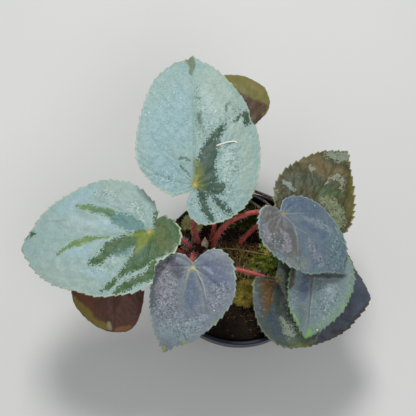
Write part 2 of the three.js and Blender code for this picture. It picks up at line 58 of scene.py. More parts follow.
# How much each wandering wave lifts the soil, its size, and its seed
SOIL_WAVES = ((0.55, 5, 11), (0.45, 2.2, 12), (0.3, 1.1, 13))
FIBRE = {"radius": 0.13, "steps": 4, "loose": 260, "loose_length": 8, "reach": 41, "old": 330, "old_length": 9}

# How a blade bends, and how fine its surface is
BLADE = {
    "thickness": 0.62, "rib": 0.55, "groove": 0.28, "belly": 0.25, "keel_softness": 3, "nod_start": 0.7,
    "pucker": 0.45, "wrinkle": 0.24,
}
FINE_GRID = (400, 60)
SMALL_GRID = (288, 40)

# The main veins of a blade: those that fan from the petiole, as degrees from the midrib and strength, the shares of the
# midrib where side veins leave it, and the degrees and shares of the fan where forks do
VEIN_FAN = ((32, 0.8), (66, 0.85), (102, 0.7), (142, 0.55))
MIDRIB_SIDES = (0.2, 0.33, 0.46, 0.59, 0.72, 0.84)
FORKED = (32, 66, 102)
FORK_SHARES = (0.35, 0.55, 0.75)
FORK_TURN = 0.65

# Each leaf: the place and turn of its blade, how it cups, folds, droops and waves, its outline from the tip to the
# notch on either side, its petiole with its radius and number of hairs, and the depth and pitch of its teeth
LEAVES = {
    "back": {
        "attach": (-27, 34, 116), "heading": -1, "pitch": 4, "roll": 4, "length": 88, "half_width": 38, "cup": 5,
        "fold": 7, "tip_drop": 2, "wave": 1.9, "waves": 5, "phase": 0.4, "notch": (-2.6, -4.6),
        "left": [
            (-4, 84.5), (-12, 81), (-22, 71.5), (-29, 56), (-34, 33), (-34, 15), (-26, 2), (-14, -6.4), (-6.5, -5.6),
        ],
        "right": [
            (4, 83.5), (11, 79), (20, 69.5), (28, 59.5), (33, 50), (34.3, 42.5), (37.6, 37), (39.2, 24), (38, 8),
            (32, -9), (20, -20), (6, -24), (-1.8, -20.5), (-5.2, -13.5), (-4.2, -9),
        ],
        "petiole": [(-24.8, 10.6, 75.5), (-28.2, 17, 95), (-27.8, 25, 108)], "radius": 1.55, "hairs": 260,
        "teeth": (0.9, 5.2), "slot": "silver_blade",
    },
    "left": {
        "attach": (-54, 9, 104), "heading": -95, "pitch": -3, "roll": 6, "length": 77, "half_width": 38, "cup": 4.5,
        "fold": 7, "tip_drop": 3, "wave": 2.1, "waves": 5, "phase": 1.9, "notch": (8, -5),
        "left": [
            (-5, 75), (-10, 72), (-17.5, 67.5), (-26.5, 57.5), (-33, 42.5), (-37, 32), (-38, 22), (-37, 9),
            (-33, 0.5), (-25, -1.8), (-20, -4), (-17, -9), (-13.8, -14.5), (-5, -18.7), (3, -17.2), (8, -13.2),
            (9.8, -9),
        ],
        "right": [
            (5, 75), (10.5, 70.5), (18, 66), (26, 57.5), (33, 45), (36.8, 34), (37.8, 23), (33.5, 9), (23.5, -1),
            (14.5, -5.6), (10.6, -5.8),
        ],
        "petiole": [(-28.6, 8, 75), (-35, 8.5, 91), (-44.5, 8.5, 99.5)], "radius": 1.5, "hairs": 240,
        "teeth": (1.2, 5.6), "slot": "silver_blade",
    },
    "front": {
        "attach": (-28, -12, 101), "heading": -159, "pitch": -19, "roll": 0, "length": 53, "half_width": 25, "cup": 4,
        "fold": 9, "tip_drop": 2, "wave": 1.6, "waves": 4, "phase": 0.2, "notch": (1.2, -2.6),
        "left": [(-5, 47), (-14, 40), (-23, 26), (-28, 11), (-26, -1), (-19, -12), (-10, -15), (-3.5, -11)],
        "right": [(4, 48), (11, 39), (17, 27), (20.5, 14), (20, 4), (14, -3), (8, -5.5)],
        "petiole": [(-25.6, 4.8, 75.5), (-28, 0.5, 87), (-29, -5, 95)], "radius": 1.45, "hairs": 120,
        "teeth": (1.3, 4.2), "slot": "violet_blade",
    },
    "right": {
        "attach": (24, 17, 113), "heading": 131, "pitch": -13, "roll": -6, "length": 50, "half_width": 22, "cup": 5,
        "fold": 4, "tip_drop": 2, "wave": 1.6, "waves": 4, "phase": 2.4, "notch": (-0.8, -2.4),
        "left": [(-5, 46), (-13, 42), (-19, 32), (-23, 17), (-20, 5), (-14, -2), (-7.5, -5)],
        "right": [(3, 46), (8, 41), (15, 35), (19, 26), (21.5, 13), (20.5, 2), (15, -6), (7, -11), (2, -9.5)],
        "petiole": [(-16.4, 8.4, 75), (-14.2, 12, 88), (-6.5, 17, 99.5), (8, 19.5, 109)], "radius": 1.65,
        "hairs": 150, "teeth": (1.3, 4.4), "slot": "violet_blade",
    },
    "back_right": {
        "attach": (38, 23, 92), "heading": 34, "pitch": 0, "roll": 0, "length": 56, "half_width": 26, "cup": 3.5,
        "fold": 6, "tip_drop": 2.5, "wave": 2.2, "waves": 5, "phase": 0.9, "notch": (1, -2.5),
        "left": [(-7, 51), (-14, 45.5), (-20, 36), (-25, 24), (-26, 12), (-21, 1), (-14, -6), (-7, -8)],
        "right": [(4, 50), (9, 43), (17, 33), (24, 21), (27, 10), (24, 1), (17, -5.5), (10, -7)],
        "petiole": [(-2, 10.8, 70.5), (4.9, 17, 77.5), (14, 22.5, 83), (27, 24, 88.5)], "radius": 1.6, "hairs": 110,
        "teeth": (1.5, 5), "slot": "olive_blade",
    },
    "front_right": {
        "attach": (22, -15, 84), "heading": 151, "pitch": -12, "roll": 0, "length": 44, "half_width": 22, "cup": 3.5,
        "fold": 8, "tip_drop": 2, "wave": 1.3, "waves": 4, "phase": 1.2, "notch": (0, -2.5),
        "left": [(-8, 39), (-15, 32), (-20, 24), (-22, 13), (-20, 1), (-15, -7), (-9, -10)],
        "right": [(4, 42), (14, 37), (20, 29), (22, 20), (20.5, 9), (16, -1), (10, -8)],
        "petiole": [(-20.5, 4.2, 75), (-18.5, -0.5, 79), (-4.3, -6.1, 82), (10, -10.5, 83.5)], "radius": 1.4,
        "hairs": 240, "teeth": (1.2, 4.2), "slot": "violet_blade",
    },
    "young": {
        "attach": (44, -5.5, 94), "heading": -172, "pitch": -13, "roll": 0, "length": 46, "half_width": 20, "cup": 3,
        "fold": 11, "tip_drop": 1.5, "wave": 1.3, "waves": 4, "phase": 2.9, "notch": (0, -2.5),
        "left": [(-7, 41), (-14, 34), (-20, 26), (-24, 13), (-23.5, 4), (-19, -5.5), (-12, -10)],
        "right": [(4, 41), (8, 35.5), (12, 28), (14, 17), (13.5, 7), (9.5, -2), (5.5, -5.5)],
        "petiole": [(25.5, 8.3, 66.5), (29, 5.5, 78), (36.5, 0, 89)], "radius": 1.4, "hairs": 90, "teeth": (1.3, 3.9),
        "slot": "violet_blade",
    },
    "low_right": {
        "attach": (40, -16, 74.5), "heading": 96, "pitch": -9, "roll": 6, "length": 43, "half_width": 30, "cup": 3,
        "fold": 5, "tip_drop": 2, "wave": 1.6, "waves": 4, "phase": 0.6, "notch": (0, -2),
        "left": [(-8, 38), (-16, 31), (-25, 25), (-28.5, 15), (-25, 4), (-18, -2.5), (-11, -4.5)],
        "right": [(6, 40), (15, 33.5), (24, 26), (31, 15), (34.5, 4), (30, -7), (21, -11), (10, -8)],
        "petiole": [(20.5, 5.8, 66.5), (21.8, -3, 70.5), (31, -12, 72.5)], "radius": 1.4, "hairs": 60,
        "teeth": (1, 5), "slot": "violet_blade",
    },
    "low_back": {
        "attach": (-17, 71, 92), "heading": 38, "pitch": 0, "roll": 4, "length": 57, "half_width": 26, "cup": 4,
        "fold": 4, "tip_drop": 2, "wave": 1.6, "waves": 4, "phase": 1.6, "notch": (0.5, -2.4),
        "left": [(-8, 56.5), (-17, 54.5), (-26, 48), (-32, 36), (-30, 21), (-22, 7), (-13, 0), (-6, -3)],
        "right": [(8, 51), (11.3, 46), (12.6, 41), (12.4, 35), (12, 27), (13, 16), (12.5, 6), (9, -2), (5, -5)],
        "petiole": [(-18, 12.2, 74.5), (-15.5, 19, 88), (-15.5, 32, 95), (-19, 52, 94.5), (-19.5, 64, 90.2)],
        "radius": 1.5, "hairs": 90, "teeth": (0.35, 5), "slot": "russet_blade",
    },
    "low_left": {
        "attach": (-78, 3, 82), "heading": 178, "pitch": -15, "roll": 0, "length": 47.5, "half_width": 22, "cup": 5,
        "fold": 4, "tip_drop": 2, "wave": 1.6, "waves": 4, "phase": 2.2, "notch": (0, -2),
        "left": [(-6, 47.5), (-11, 45.5), (-15, 40), (-18, 30), (-19, 18), (-16, 7), (-10, -1), (-5, -4)],
        "right": [(5, 46.5), (12.5, 42.5), (20, 35.5), (25, 27.5), (25.5, 15), (22, 5), (15, -2), (7, -4.5)],
        "petiole": [(-30.3, 4.6, 72.5), (-44, 8, 80.5), (-63, 12, 81.5), (-74, 8.5, 79)], "radius": 1.45, "hairs": 90,
        "teeth": (0.3, 6), "slot": "russet_blade",
    },
}

# The paint of each leaf's top, in layers: a colour, how soft and how frayed its edge is, how strongly it covers, and
# its brush strokes as points across and along the midrib, with half widths. SPECKLE marks where the specks come in;
# their pale cells are partly painted glints. Layers of painted shade and shadow are marked where they stand.
SPECKLE = None
PAINT = {
    "back": {
        "base": "#93aeaa", "cool": "#8fadac", "speck": "#c6d3cd", "pit": "#4f6c60", "edge": "#bccbaa",
        "vein": "#84a190", "heart": "#c9a85c", "halo": "#a3a036", "grain": 0.35,
        "specks": [
            [(2, 64, 1.5), (3, 55, 2), (4, 43, 4), (5, 33, 4), (12, 36, 4), (20, 42, 3)],
            [(20, 21, 4), (22, 12, 5), (18, 4, 4), (19, -6, 4)], [(27, -10, 3)],
            [(0, -12, 3), (9, -14, 2), (14, -20, 2.5)], [(-12, 3, 2), (-22, 5, 2)], [(20, 50, 2), (28, 48, 2)],
        ],
        "layers": [
            ("#8badb4", 9, 0, 0.7, [[(-16, 4, 8), (-20, 25, 9), (-19, 45, 8)], [(-8, 30, 6), (-9, 60, 5)]]),
            ("#9db1a5", 9, 0, 0.8, [[(12, 70, 8), (24, 45, 6), (31, 22, 5), (30, -2, 4)]]),
            ("#a8bdb4", 6, 0, 0.7, [[(16, 25, 1), (20, 17, 3), (19, 4, 3)], [(7, 60, 4), (12, 48, 4)]]),
            # Painted shade: the first stroke darkens a band beside the midrib, on the side of the fold that faces from
            # the light
            (
                "#7f9b8e", 4, 0, 0.55,
                [[(2, 66, 1), (3, 45, 2), (4, 30, 3), (11, 33, 2)], [(-17, 25, 0.6), (-12, 18, 1), (-6, 9, 1)]],
            ),
            SPECKLE,
            (
                "#3c5547", 1.7, 1, 1.0,
                [
                    [(7, -1, 6.4), (6.5, 10, 6), (8, 18, 5), (11, 26, 4), (14, 32, 2.6), (17, 37, 1.5)],
                    [(8, -1, 6.6), (13, -2, 4.6)], [(4, -6, 3.4), (5, -12, 2.4), (7, -17, 2), (10, -22, 1.4)],
                    [(12, -8, 1.6), (15, -12, 2.4), (18, -16, 1.7), (20, -18, 0.8)], [(31, 45, 2.8), (32, 40, 2.2)],
                    [(24, 41, 0.7), (28, 45, 1)],
                ],
            ),
            (
                "#4c675c", 1.0, 0.8, 0.9,
                [
                    [(-9, 15.5, 0.8), (-6, 16.6, 1.0), (-3, 15, 0.7)], [(-8, 11, 0.35), (-3, 5, 0.5)],
                    [(19, 47, 0.5), (20, 51, 0.7), (22, 53, 0.4)], [(3, 45, 1.2), (3, 39, 0.8)],
                ],
            ),
            ("#4f7b43", 0.9, 0.3, 0.9, [[(34.5, 46, 0.9), (35.5, 41, 1.2)]]),
            ("#667758", 2.2, 0.3, 0.9, [[(-1, 73, 0.6), (-1, 80, 1.9), (-2, 87, 2.6)]]),
            ("#6c7833", 5.5, 0, 0.7, [[(1, 15, 1.6), (2.5, 7, 3.4), (2, 0, 3.6)]]),
            ("#a3963a", 3, 0, 0.6, [[(0.6, 6, 0.8), (0.5, 0, 1.8)]]),
        ],
    },
    "left": {
        "base": "#99b2ae", "cool": "#94adab", "speck": "#d0dbd5", "pit": "#607f66", "edge": "#c6d2b2",
        "vein": "#8ba68d", "heart": "#d09a72", "halo": "#a0a040", "grain": 0.25,
        "specks": [
            [(18, 8, 4), (9, 4, 3)], [(26, 20, 3), (29, 30, 3)], [(-20, 10, 4), (-27, 9, 4), (-29, 18, 4)],
            [(-17, 23, 3), (-20, 31, 3)], [(9, 31, 3)], [(-4, 24, 2)], [(-14, -1, 3), (-18, -4, 3)],
        ],
        "layers": [
            (
                "#98b6c0", 6, 0, 0.6,
                [
                    [(-9, 47, 3), (-9, 36, 3)], [(-22, 37, 3), (-24, 28, 3)], [(8, 29, 3), (5, 22, 2)],
                    [(30, 38, 5), (22, 50, 5)],
                ],
            ),
            (
                "#9bb0a6", 7, 0, 0.7,
                [[(-14, 62, 5), (-24, 50, 5), (-31, 36, 4)], [(0, 70, 3)], [(24, 8, 4), (33, 22, 4)]],
            ),
            ("#adc2c6", 4, 0, 0.7, [[(15, 46, 2), (10, 40, 2), (9, 26, 2)], [(-14, 40, 2)]]),
            SPECKLE,
            (
                "#5b827f", 2.2, 0.8, 0.95,
                [[(2, 4, 2.6), (6, 10, 4.2), (10, 17, 4), (13, 23, 2.4)], [(-11, 14, 2.4), (-12, 20, 2)]],
            ),
            ("#5c7d5d", 1.4, 0.9, 0.95, [[(14, 22, 2.6), (18, 30, 2.2), (20, 36, 1.6)]]),
            (
                "#68853f", 1.2, 0.9, 0.9,
                [
                    [(20, 36, 1.5), (22, 43, 0.6)],
                    [(-1, 24, 0.5), (-1, 31, 1.1), (-1.5, 38, 1.5), (-3.5, 45, 1.7), (-6, 50, 1), (-8, 54, 0.5)],
                ],
            ),
            (
                "#415f36", 1.8, 1, 1.0,
                [
                    [(9, -7, 4.4), (4, -13, 6)],
                    [(-3, 4, 3.8), (-5, 12, 5), (-7, 20, 4.6), (-11, 25, 3.4), (-15, 30, 3), (-17, 35, 1.6)],
                    [
                        (5, -9, 6), (-4, -11, 8), (-9, -5, 8), (-12, 1, 7.4), (-18, 6, 5.4), (-22, 12, 3.4),
                        (-26, 17, 1.8),
                    ],
                    [(-22, -2, 3.4), (-28, 1, 3), (-31, 8, 2.6), (-34, 15, 2.4), (-36, 21, 1.6)],
                    [(-28, 20, 1.4), (-31, 24, 1.6), (-34, 28, 1)], [(8, 70, 1.4), (7, 73, 1)],
                ],
            ),
            ("#476851", 3, 0, 0.6, [[(-8, 12, 3), (-10, 22, 2)], [(-12, 3, 4), (-20, 10, 2)]]),
            ("#8b9b97", 0.8, 0.8, 0.8, [[(13, 50, 0.6), (14, 58, 0.4)]]),
            ("#52622f", 5, 0, 0.85, [[(0, -7, 4), (-8, -8, 5), (-12, -13, 3)], [(6, -12, 3)]]),
            (
                "#7d8c2c", 3.4, 0, 0.8,
                [[(-1, -1, 2.4), (-4, 3, 2.8), (-9, 6, 1.8), (-13, 7.5, 0.8)], [(-1, 12, 0.8), (-1, 4, 2)]],
            ),
        ],
    },
    "front": {
        "base": "#7a828c", "cool": "#828b95", "speck": "#bcc1c2", "pit": "#4c4e5a", "edge": "#a6c0ac",
        "vein": "#6c7981", "heart": "#cdcd90", "halo": "#a9a87a", "grain": 0.28,
        "specks": [
            [(14, 8, 6), (12, 16, 7), (8, 26, 8), (5, 35, 6)], [(-6, 36, 6), (-14, 28, 5)],
            [(-18, 14, 4), (-20, 5, 4)], [(16, -2, 4), (20, 4, 4)],
        ],
        "layers": [
            ("#8d8c94", 5, 0, 0.85, [[(15, 2, 4), (13, 12, 5), (10, 22, 5)]]),
            ("#889aa0", 6, 0, 0.85, [[(4, 40, 5), (-6, 37, 6), (-14, 29, 4)], [(2, 47, 3)]]),
            ("#646f86", 4, 0, 0.85, [[(-7, -5, 4), (-13, -2, 5), (-20, 2, 4), (-10, 3, 3)]]),
            ("#8f979e", 2.5, 0.6, 0.5, [[(9, 14, 2), (8, 20, 2)], [(14, 24, 1.5)]]),
            ("#607488", 2.4, 0, 0.8, [[(-1, 5, 1.6), (-3, 11, 3.4), (-5, 17, 4.4), (-7, 22, 3)]]),
            SPECKLE,
            ("#55535f", 2.2, 0.9, 0.8, [[(14, 1, 2), (9, 4, 3.2), (6, 7, 2)], [(8, -2, 2)]]),
            ("#8f9ab0", 0.8, 0.8, 0.7, [[(-6, -2, 0.7), (-9, -2, 0.8), (-12, 0, 0.6)], [(-7, 2, 0.8)]]),
            ("#a09c90", 0.5, 0.2, 0.75, [[(2, 1, 1.2), (1, 8, 0.25), (0, 18, 0.25), (-0.5, 25, 0.12)]]),
            (
                "#b0b2a2", 0.45, 0.1, 0.9,
                [[(-1, 0, 0.5), (-3.5, 2, 0.35), (-7.8, 5.5, 0.45), (-10.5, 9, 0.3), (-13, 14, 0.12)]],
            ),
            (
                "#97a150", 1.4, 0.4, 0.85,
                [[(1, 52, 2), (0, 49, 1.2)], [(-23, 26, 1.4), (-22, 28, 1)], [(-11, 42, 1), (-9, 43, 0.8)]],
            ),
        ],
    },
    "right": {
        "base": "#5f707e", "cool": "#667884", "speck": "#9fa6aa", "pit": "#454d56", "edge": "#9db6a4",
        "vein": "#65727c", "heart": "#a8835e", "halo": "#8a8068", "grain": 0.25,
        "specks": [
            [(8, 9, 2), (12, 13, 4), (15, 12, 4)], [(13, -3, 2), (17, 6, 3)], [(-11, 17, 3), (-13, 24, 3)],
            [(3, 24, 2), (6, 33, 3)], [(-8, 36, 6), (2, 42, 5)], [(16, 26, 4), (20, 18, 3)],
        ],
        "layers": [
            # Partly painted shade: this grey-brown is the leaf's brown, darkened on the lobe that faces from the light
            ("#64625d", 3, 0, 0.95, [[(5, -6, 5), (8, 0, 6), (10, 8, 6), (13, 16, 5)], [(16, -2, 3), (19, 8, 3)]]),
            (
                "#55667a", 3.5, 0, 0.8,
                [[(-8, -3, 5), (-12, 4, 5), (-16, 12, 4)], [(-4, 13, 1.5), (-6, 20, 2), (-8, 28, 2)]],
            ),
            ("#5f6070", 2.5, 0, 0.6, [[(-9, -5, 2)]]),
            ("#667f86", 6, 0, 0.8, [[(-9, 34, 5), (-3, 42, 5), (8, 38, 4)]]),
            ("#7e877f", 4, 0, 0.8, [[(15, 28, 4), (20, 19, 3)]]),
            (
                "#8a8a90", 1.8, 0.5, 0.75,
                [
                    [(8, 4, 0.6), (10, 11, 2.2), (13, 15, 2.2), (16, 14, 1.6)],
                    [(12, -3, 1.2), (15, 0, 1.8), (17, 5, 1.6)],
                ],
            ),
            ("#788890", 1.8, 0.5, 0.8, [[(-7, 11, 0.8), (-11, 18, 2.2), (-13, 24, 2.4), (-13, 29, 1.2)]]),
            ("#80848f", 1.5, 0.5, 0.75, [[(1, 21, 0.8), (3, 25, 1.8), (5, 30, 1.8), (7, 36, 1.2)]]),
            SPECKLE,
            ("#605f57", 1.6, 0.4, 0.8, [[(4, 9, 0.8), (6, 13, 1.6), (9, 18, 1.6), (12, 23, 1.2)]]),
            (
                "#93908a", 0.45, 0.1, 0.8,
                [
                    [(0, 0, 0.5), (0.5, 6, 0.4), (1.5, 10.5, 0.4), (5, 15, 0.25), (10, 20, 0.25), (14, 24, 0.12)],
                    [(1, 10, 0.25), (0, 15, 0.2), (-1, 20, 0.1)],
                    [(0, 0, 0.4), (-5, 4.5, 0.2), (-9, 8.5, 0.15), (-12, 11.5, 0.1)],
                ],
            ),
            ("#84ad86", 1.2, 0.8, 0.5, [[(-18, 29, 0.6), (-14, 38, 0.8)], [(3, 47, 0.6), (11, 40, 0.6)]]),
        ],
    },
    "back_right": {
        "base": "#423d19", "cool": "#434120", "speck": "#838870", "pit": "#35361f", "edge": "#a19e6e",
        "vein": "#434b2d", "grain": 0.2,
        "specks": [
            [(-6, 46, 4), (0, 49, 4)], [(4, 35, 3), (9, 31, 3)], [(8, 16, 4), (16, 13, 5), (20, 8, 4)], [(-22, 4, 3)],
            [(-12, 31, 2)],
        ],
        "layers": [
            (
                "#5f5226", 4, 0, 0.9,
                [[(-19, 34, 3), (-13, 39, 4), (-7, 35, 5), (-3, 32, 4)], [(0, 38, 2.4), (6, 40, 2)]],
            ),
            ("#625d26", 3, 0, 0.9, [[(11, 41, 2), (16, 33, 2.4), (20, 25, 2.4), (23, 18, 1.6)]]),
            ("#525b48", 3, 0, 0.8, [[(-19, 20, 3), (-14, 18, 3)]]),
            ("#363f22", 3, 0, 1.0, [[(-15, 21, 2.4), (-9, 24, 4), (-3, 25, 4), (4, 26, 3.6)]]),
            ("#40562a", 2.6, 0, 0.95, [[(0, 21, 2.4), (6, 23, 3), (11, 25, 2.6)]]),
            ("#5f7a38", 1.2, 0.4, 0.8, [[(5, 19.5, 1), (8, 20, 0.8)]]),
            ("#7d8a68", 3, 0.8, 0.75, [[(4, 16, 2), (10, 17, 3.6), (16, 14, 4.6), (20, 9, 3.6), (14, 6, 4)]]),
            ("#87947f", 2.2, 0.9, 0.8, [[(-9, 46, 2.4), (-4, 48, 4), (0, 50, 3.6), (1, 54, 1.8)], [(-3, 43, 1.4)]]),
            (
                "#8b917a", 1.6, 0.9, 0.85,
                [
                    [(1, 32, 1.2), (4, 35, 2.2), (8, 34, 2), (10, 30, 1.2)], [(0, 26, 0.4), (1, 30, 0.7)],
                    [(-14, 32, 1), (-12, 29.5, 1.1), (-11, 33, 0.6)],
                ],
            ),
            ("#83938e", 1.2, 0.6, 0.9, [[(-22, 13, 1.2), (-18, 13.5, 1.9), (-14, 12, 1.3)], [(-13, 17, 0.7)]]),
            ("#7d8468", 1.6, 0.8, 0.8, [[(-23, 5, 1.6), (-20, 2, 1.6)]]),
            SPECKLE,
        ],
    },
    "front_right": {
        "base": "#3f4946", "cool": "#47524e", "speck": "#8a9586", "pit": "#353f39", "edge": "#8a9672",
        "vein": "#4c5a55", "heart": "#b0743f", "halo": "#5f431f", "grain": 0.15,
        "specks": [
            [(8, 23, 3), (9, 29, 3), (3, 31, 3)], [(-3, -4, 3), (-2, 4, 2), (0, 14, 2), (3, 24, 2)],
            [(16, 6, 2), (18, 14, 2)],
        ],
        "layers": [
            ("#5a5f69", 2.6, 0, 0.9, [[(16, -2, 2), (18, 5, 2.4), (20, 12, 1.8)]]),
            ("#7d8674", 2, 0.5, 0.9, [[(-4, -5, 2.6), (-3, 1, 2), (-1, 8, 1.4), (0, 15, 1.2), (2, 23, 1.2)]]),
            ("#5a3f12", 2.6, 0, 1.0, [[(3, -6, 3.2), (6, -2, 4.6), (9, 4, 4), (12, 10, 2.6), (14, 15, 0.8)]]),
            ("#29352f", 2.4, 0, 0.95, [[(2, 4, 1.6), (5, 10, 3), (8, 17, 2.6)], [(3, 14, 1.6), (5, 21, 2)]]),
            ("#33464f", 2.6, 0, 0.95, [[(10, 11, 1), (13, 16, 2.8), (15, 22, 3.4), (14, 28, 2.6)]]),
            ("#8a9482", 2, 0.8, 0.85, [[(8, 22, 1.6), (9, 27, 2.6), (9, 31, 2.2)], [(3, 28, 1.6), (3, 33, 1.6)]]),
            ("#52624a", 2.6, 0.3, 0.85, [[(10, 36, 2.4), (3, 38, 2.6), (-2, 38, 1.6)]]),
            SPECKLE,
            ("#8f8a68", 1.6, 0.5, 0.7, [[(-1, -1, 1.4), (-3, 1, 1)]]),
            ("#6e7138", 1.4, 0.3, 0.85, [[(12, 38, 1), (4, 42, 1.4), (-2, 41, 1)]]),
        ],
    },
    "young": {
        "base": "#728588", "cool": "#7a8d90", "speck": "#a9b8b8", "pit": "#515f62", "edge": "#86ac6c",
        "vein": "#6a7b78", "heart": "#8f8a6a", "halo": "#7a7a66", "grain": 0.3,
        "specks": [[(-5, 12, 4), (-11, 18, 6), (-7, 29, 5)], [(10, 18, 2), (9, 27, 2)], [(2, 36, 2)]],
        "layers": [
            ("#54657a", 2.6, 0, 0.95, [[(4, 9, 2.6), (5, 16, 3.4), (4, 23, 2.6)]]),
            ("#60706f", 3, 0, 0.85, [[(5, 29, 3.4), (4, 36, 2.6)], [(10, 22, 2)]]),
            ("#8fa2a8", 3.4, 0, 0.7, [[(-10, 13, 3), (-12, 19, 3)]]),
            ("#7f9c84", 3, 0.5, 0.7, [[(-22, 6, 1), (-21, 16, 1.4), (-17, 26, 1.6), (-9, 35, 2), (-3, 40, 2.4)]]),
            SPECKLE,
            ("#49331f", 1.8, 0.3, 0.9, [[(13, 4, 1.6), (12, 11, 1.6), (13, 18, 0.8)]]),
            # Painted shadow: a dark band across the blade near its base, where the front right leaf's edge casts its
            # shadow
            ("#473c3e", 1.4, 0.3, 0.7, [[(11, 5, 1.4), (2, 8, 1.6), (-8, 8, 1.4), (-18, 6, 1.2)]]),
            ("#675d5f", 0.6, 0.2, 0.85, [[(0.5, 8, 0.5), (0.5, 18, 0.5), (0, 30, 0.35), (0, 38, 0.2)]]),
            ("#9aa5a5", 0.5, 0.4, 0.7, [[(-0.8, 10, 0.35), (-0.9, 24, 0.3), (-0.9, 34, 0.2)]]),
            (
                "#7fb060", 1.6, 0.4, 0.85,
                [[(-2, 42, 1.6), (0, 46, 1.6)], [(-13, 32, 0.9)], [(5, 38, 0.8), (9, 33, 0.6)]],
            ),
        ],
    },
    "low_right": {
        "base": "#4a505d", "cool": "#515865", "speck": "#646a72", "pit": "#32363e", "edge": "#5b5341",
        "vein": "#3f464f", "grain": 0.2, "specks": [],
        "layers": [
            ("#3f4856", 4, 0, 0.8, [[(-2, 30, 3.9), (1, 35, 3.4)]]),
            ("#403832", 2.4, 0.3, 0.85, [[(24, 21, 2), (24, 26, 1.2)], [(4, 41, 1.4), (12, 36, 1.4), (21, 29, 1.4)]]),
            SPECKLE,
        ],
    },
    "low_back": {
        "base": "#76713d", "cool": "#706c38", "speck": "#97935a", "pit": "#5c5830", "edge": "#95935a",
        "vein": "#6d6b3c", "grain": 0.1, "specks": [],
        "layers": [
            ("#6a6a2e", 4, 0, 0.7, [[(-20, 49, 2)], [(9, 50, 2), (11, 46, 2)]]),
            ("#867a50", 5, 0, 0.6, [[(-8, 53, 3), (-2, 52, 3)]]),
            (
                "#4a3326", 3, 0.1, 0.95,
                [[(-16, 36, 5), (-6, 38, 4.4), (2, 40, 4.4), (8, 42, 4)], [(8, 34, 6), (-6, 28, 8)]],
            ),
            SPECKLE,
        ],
    },
    "low_left": {
        "base": "#684136", "cool": "#5f3d35", "speck": "#7c5a4a", "pit": "#4a2e24", "edge": "#7a5a40",
        "vein": "#432c24", "grain": 0.08, "specks": [],
        "layers": [
            ("#74482c", 4, 0, 0.8, [[(18, 25, 3), (12, 35, 2)]]),
            (
                "#8b7a36", 2.6, 0.1, 0.95,
                [[(24, 27, 2), (21, 31, 2.8), (17, 35, 2.8), (14, 40, 2.8), (9, 43, 2.8), (5, 44, 2.4)]],
            ),
            ("#94693a", 1.6, 0.1, 0.9, [[(-1, 46.5, 1.5), (-6, 45.5, 1.5), (-10, 44.5, 1.2)]]),
            ("#aaa682", 1.4, 0.2, 0.9, [[(3, 42, 1.3), (2.5, 45, 1.3)]]),
            SPECKLE,
        ],
    },
}

# Painted highlights: small white specks set where light glints on the leaves. The leaf, and the place across and along
# its midrib
GLINT_SPOTS = {
    "back": [
        (-8, 56), (-23, 50), (-20, 50), (-27, 46), (-29, 44), (-16, 2), (-25, 11), (13, 47), (10, 62), (-12, 60),
    ],
    "right": [(13, 4), (-19, 11), (-16, 11), (-13, 30)], "front": [(-12, -1), (-18, 0), (-20, 19)],
    "young": [(-9, 28), (-6, 40)],
}

RHIZOME = {
    "path": [(31, 6, 65.5), (16, 9.5, 67.5), (2, 10.5, 70.5), (-12, 10, 73), (-31, 7.5, 75)], "radius": 4.2,
    "crown": 5.6, "over": 5.2,
}
STIPULES = {
    # Painted light: the pale bract's tint and darker tone are raised towards white to show a lit face, as the lamps
    # leave its front in shade
    "pale": {
        "foot": (-21.4, 8.5, 78.3), "heading": 5, "lean": 25, "length": 9, "width": 4.2, "tint": "#fff4e0",
        "shade": "#c8ac88",
    },
    "left": {"foot": (-31.5, 7.5, 76), "heading": -100, "lean": 35, "length": 8, "width": 4, "tint": "#9a6a4c"},
    "front": {"foot": (-22.8, 3.2, 76.5), "heading": 170, "lean": 35, "length": 8, "width": 4.2, "tint": "#b58a68"},
    "back": {"foot": (-27.5, 11.8, 76.5), "heading": -20, "lean": 28, "length": 8, "width": 4, "tint": "#8c5a40"},
}
MOSSES = {
    "green": {"at": (18, 2, 67), "size": (11.5, 12, 7.5), "slot": "green_moss", "shoots": 210, "cap": 0.1},
    "gold": {"at": (4, -17, 65), "size": (8, 8, 6), "slot": "gold_moss", "shoots": 190, "cap": 0.1},
    "left": {"at": (-29.5, 25.5, 67.5), "size": (6.2, 5.6, 10.5), "slot": "gold_moss", "shoots": 90, "cap": 0.6},
    "back": {"at": (2, 31, 66), "size": (12, 7.5, 6), "slot": "green_moss", "shoots": 200, "cap": 0.1},
}
STALKS = {
    "grey": {
        "radius": 1.25, "tint": "#5b5350", "path": [(35, 19, 62), (31.5, 33, 68.8), (23.5, 43, 70.8), (9, 50, 71)],
    },
    "tan": {
        "radius": 0.9, "tint": "#a98a78",
        "path": [(27, 27, 62.5), (24, 35.5, 67.5), (17.5, 42, 70.3), (9.5, 46.5, 71)],
    },
    "olive": {
        "radius": 1.1, "tint": "#7f7c4e", "path": [(21, 24, 63), (17.5, 32, 71), (13, 36.5, 74.5), (2, 43, 77.5)],
    },
}
RUNNER = {
    "radius": 0.5,
    "path": [
        (-23.4, 1.6, 80.4), (-21, 5.6, 81.5), (-16.5, 5.7, 80.2), (-12, 7.2, 79.2), (-4.3, 7.8, 77.4),
        (4.2, 7.2, 75.6), (9.8, 6.2, 75), (17, 4.6, 75.2),
    ],
}
DRY_LEAF = {"at": (-31.5, 17, 68.4), "heading": -55, "pitch": 6, "length": 14, "foot": 2, "flare": 5.5, "pleat": 0.9}
SEEDLING = {"at": (24.6, -1, 77), "radius": 3.6, "tilt": 18, "stem": 0.5, "depth": 7}

# Hairs: their length and width, and the share of the margin's points that carry one
PETIOLE_HAIR = (2.8, 0.12)
EDGE_HAIR = (0.55, 0.06)
EDGE_HAIR_SHARE = 0.8
# How far out in its cushion the moss bed ends, and where its shoots are rooted
MOSS_BED = 0.94
MOSS_ROOTS = 0.88
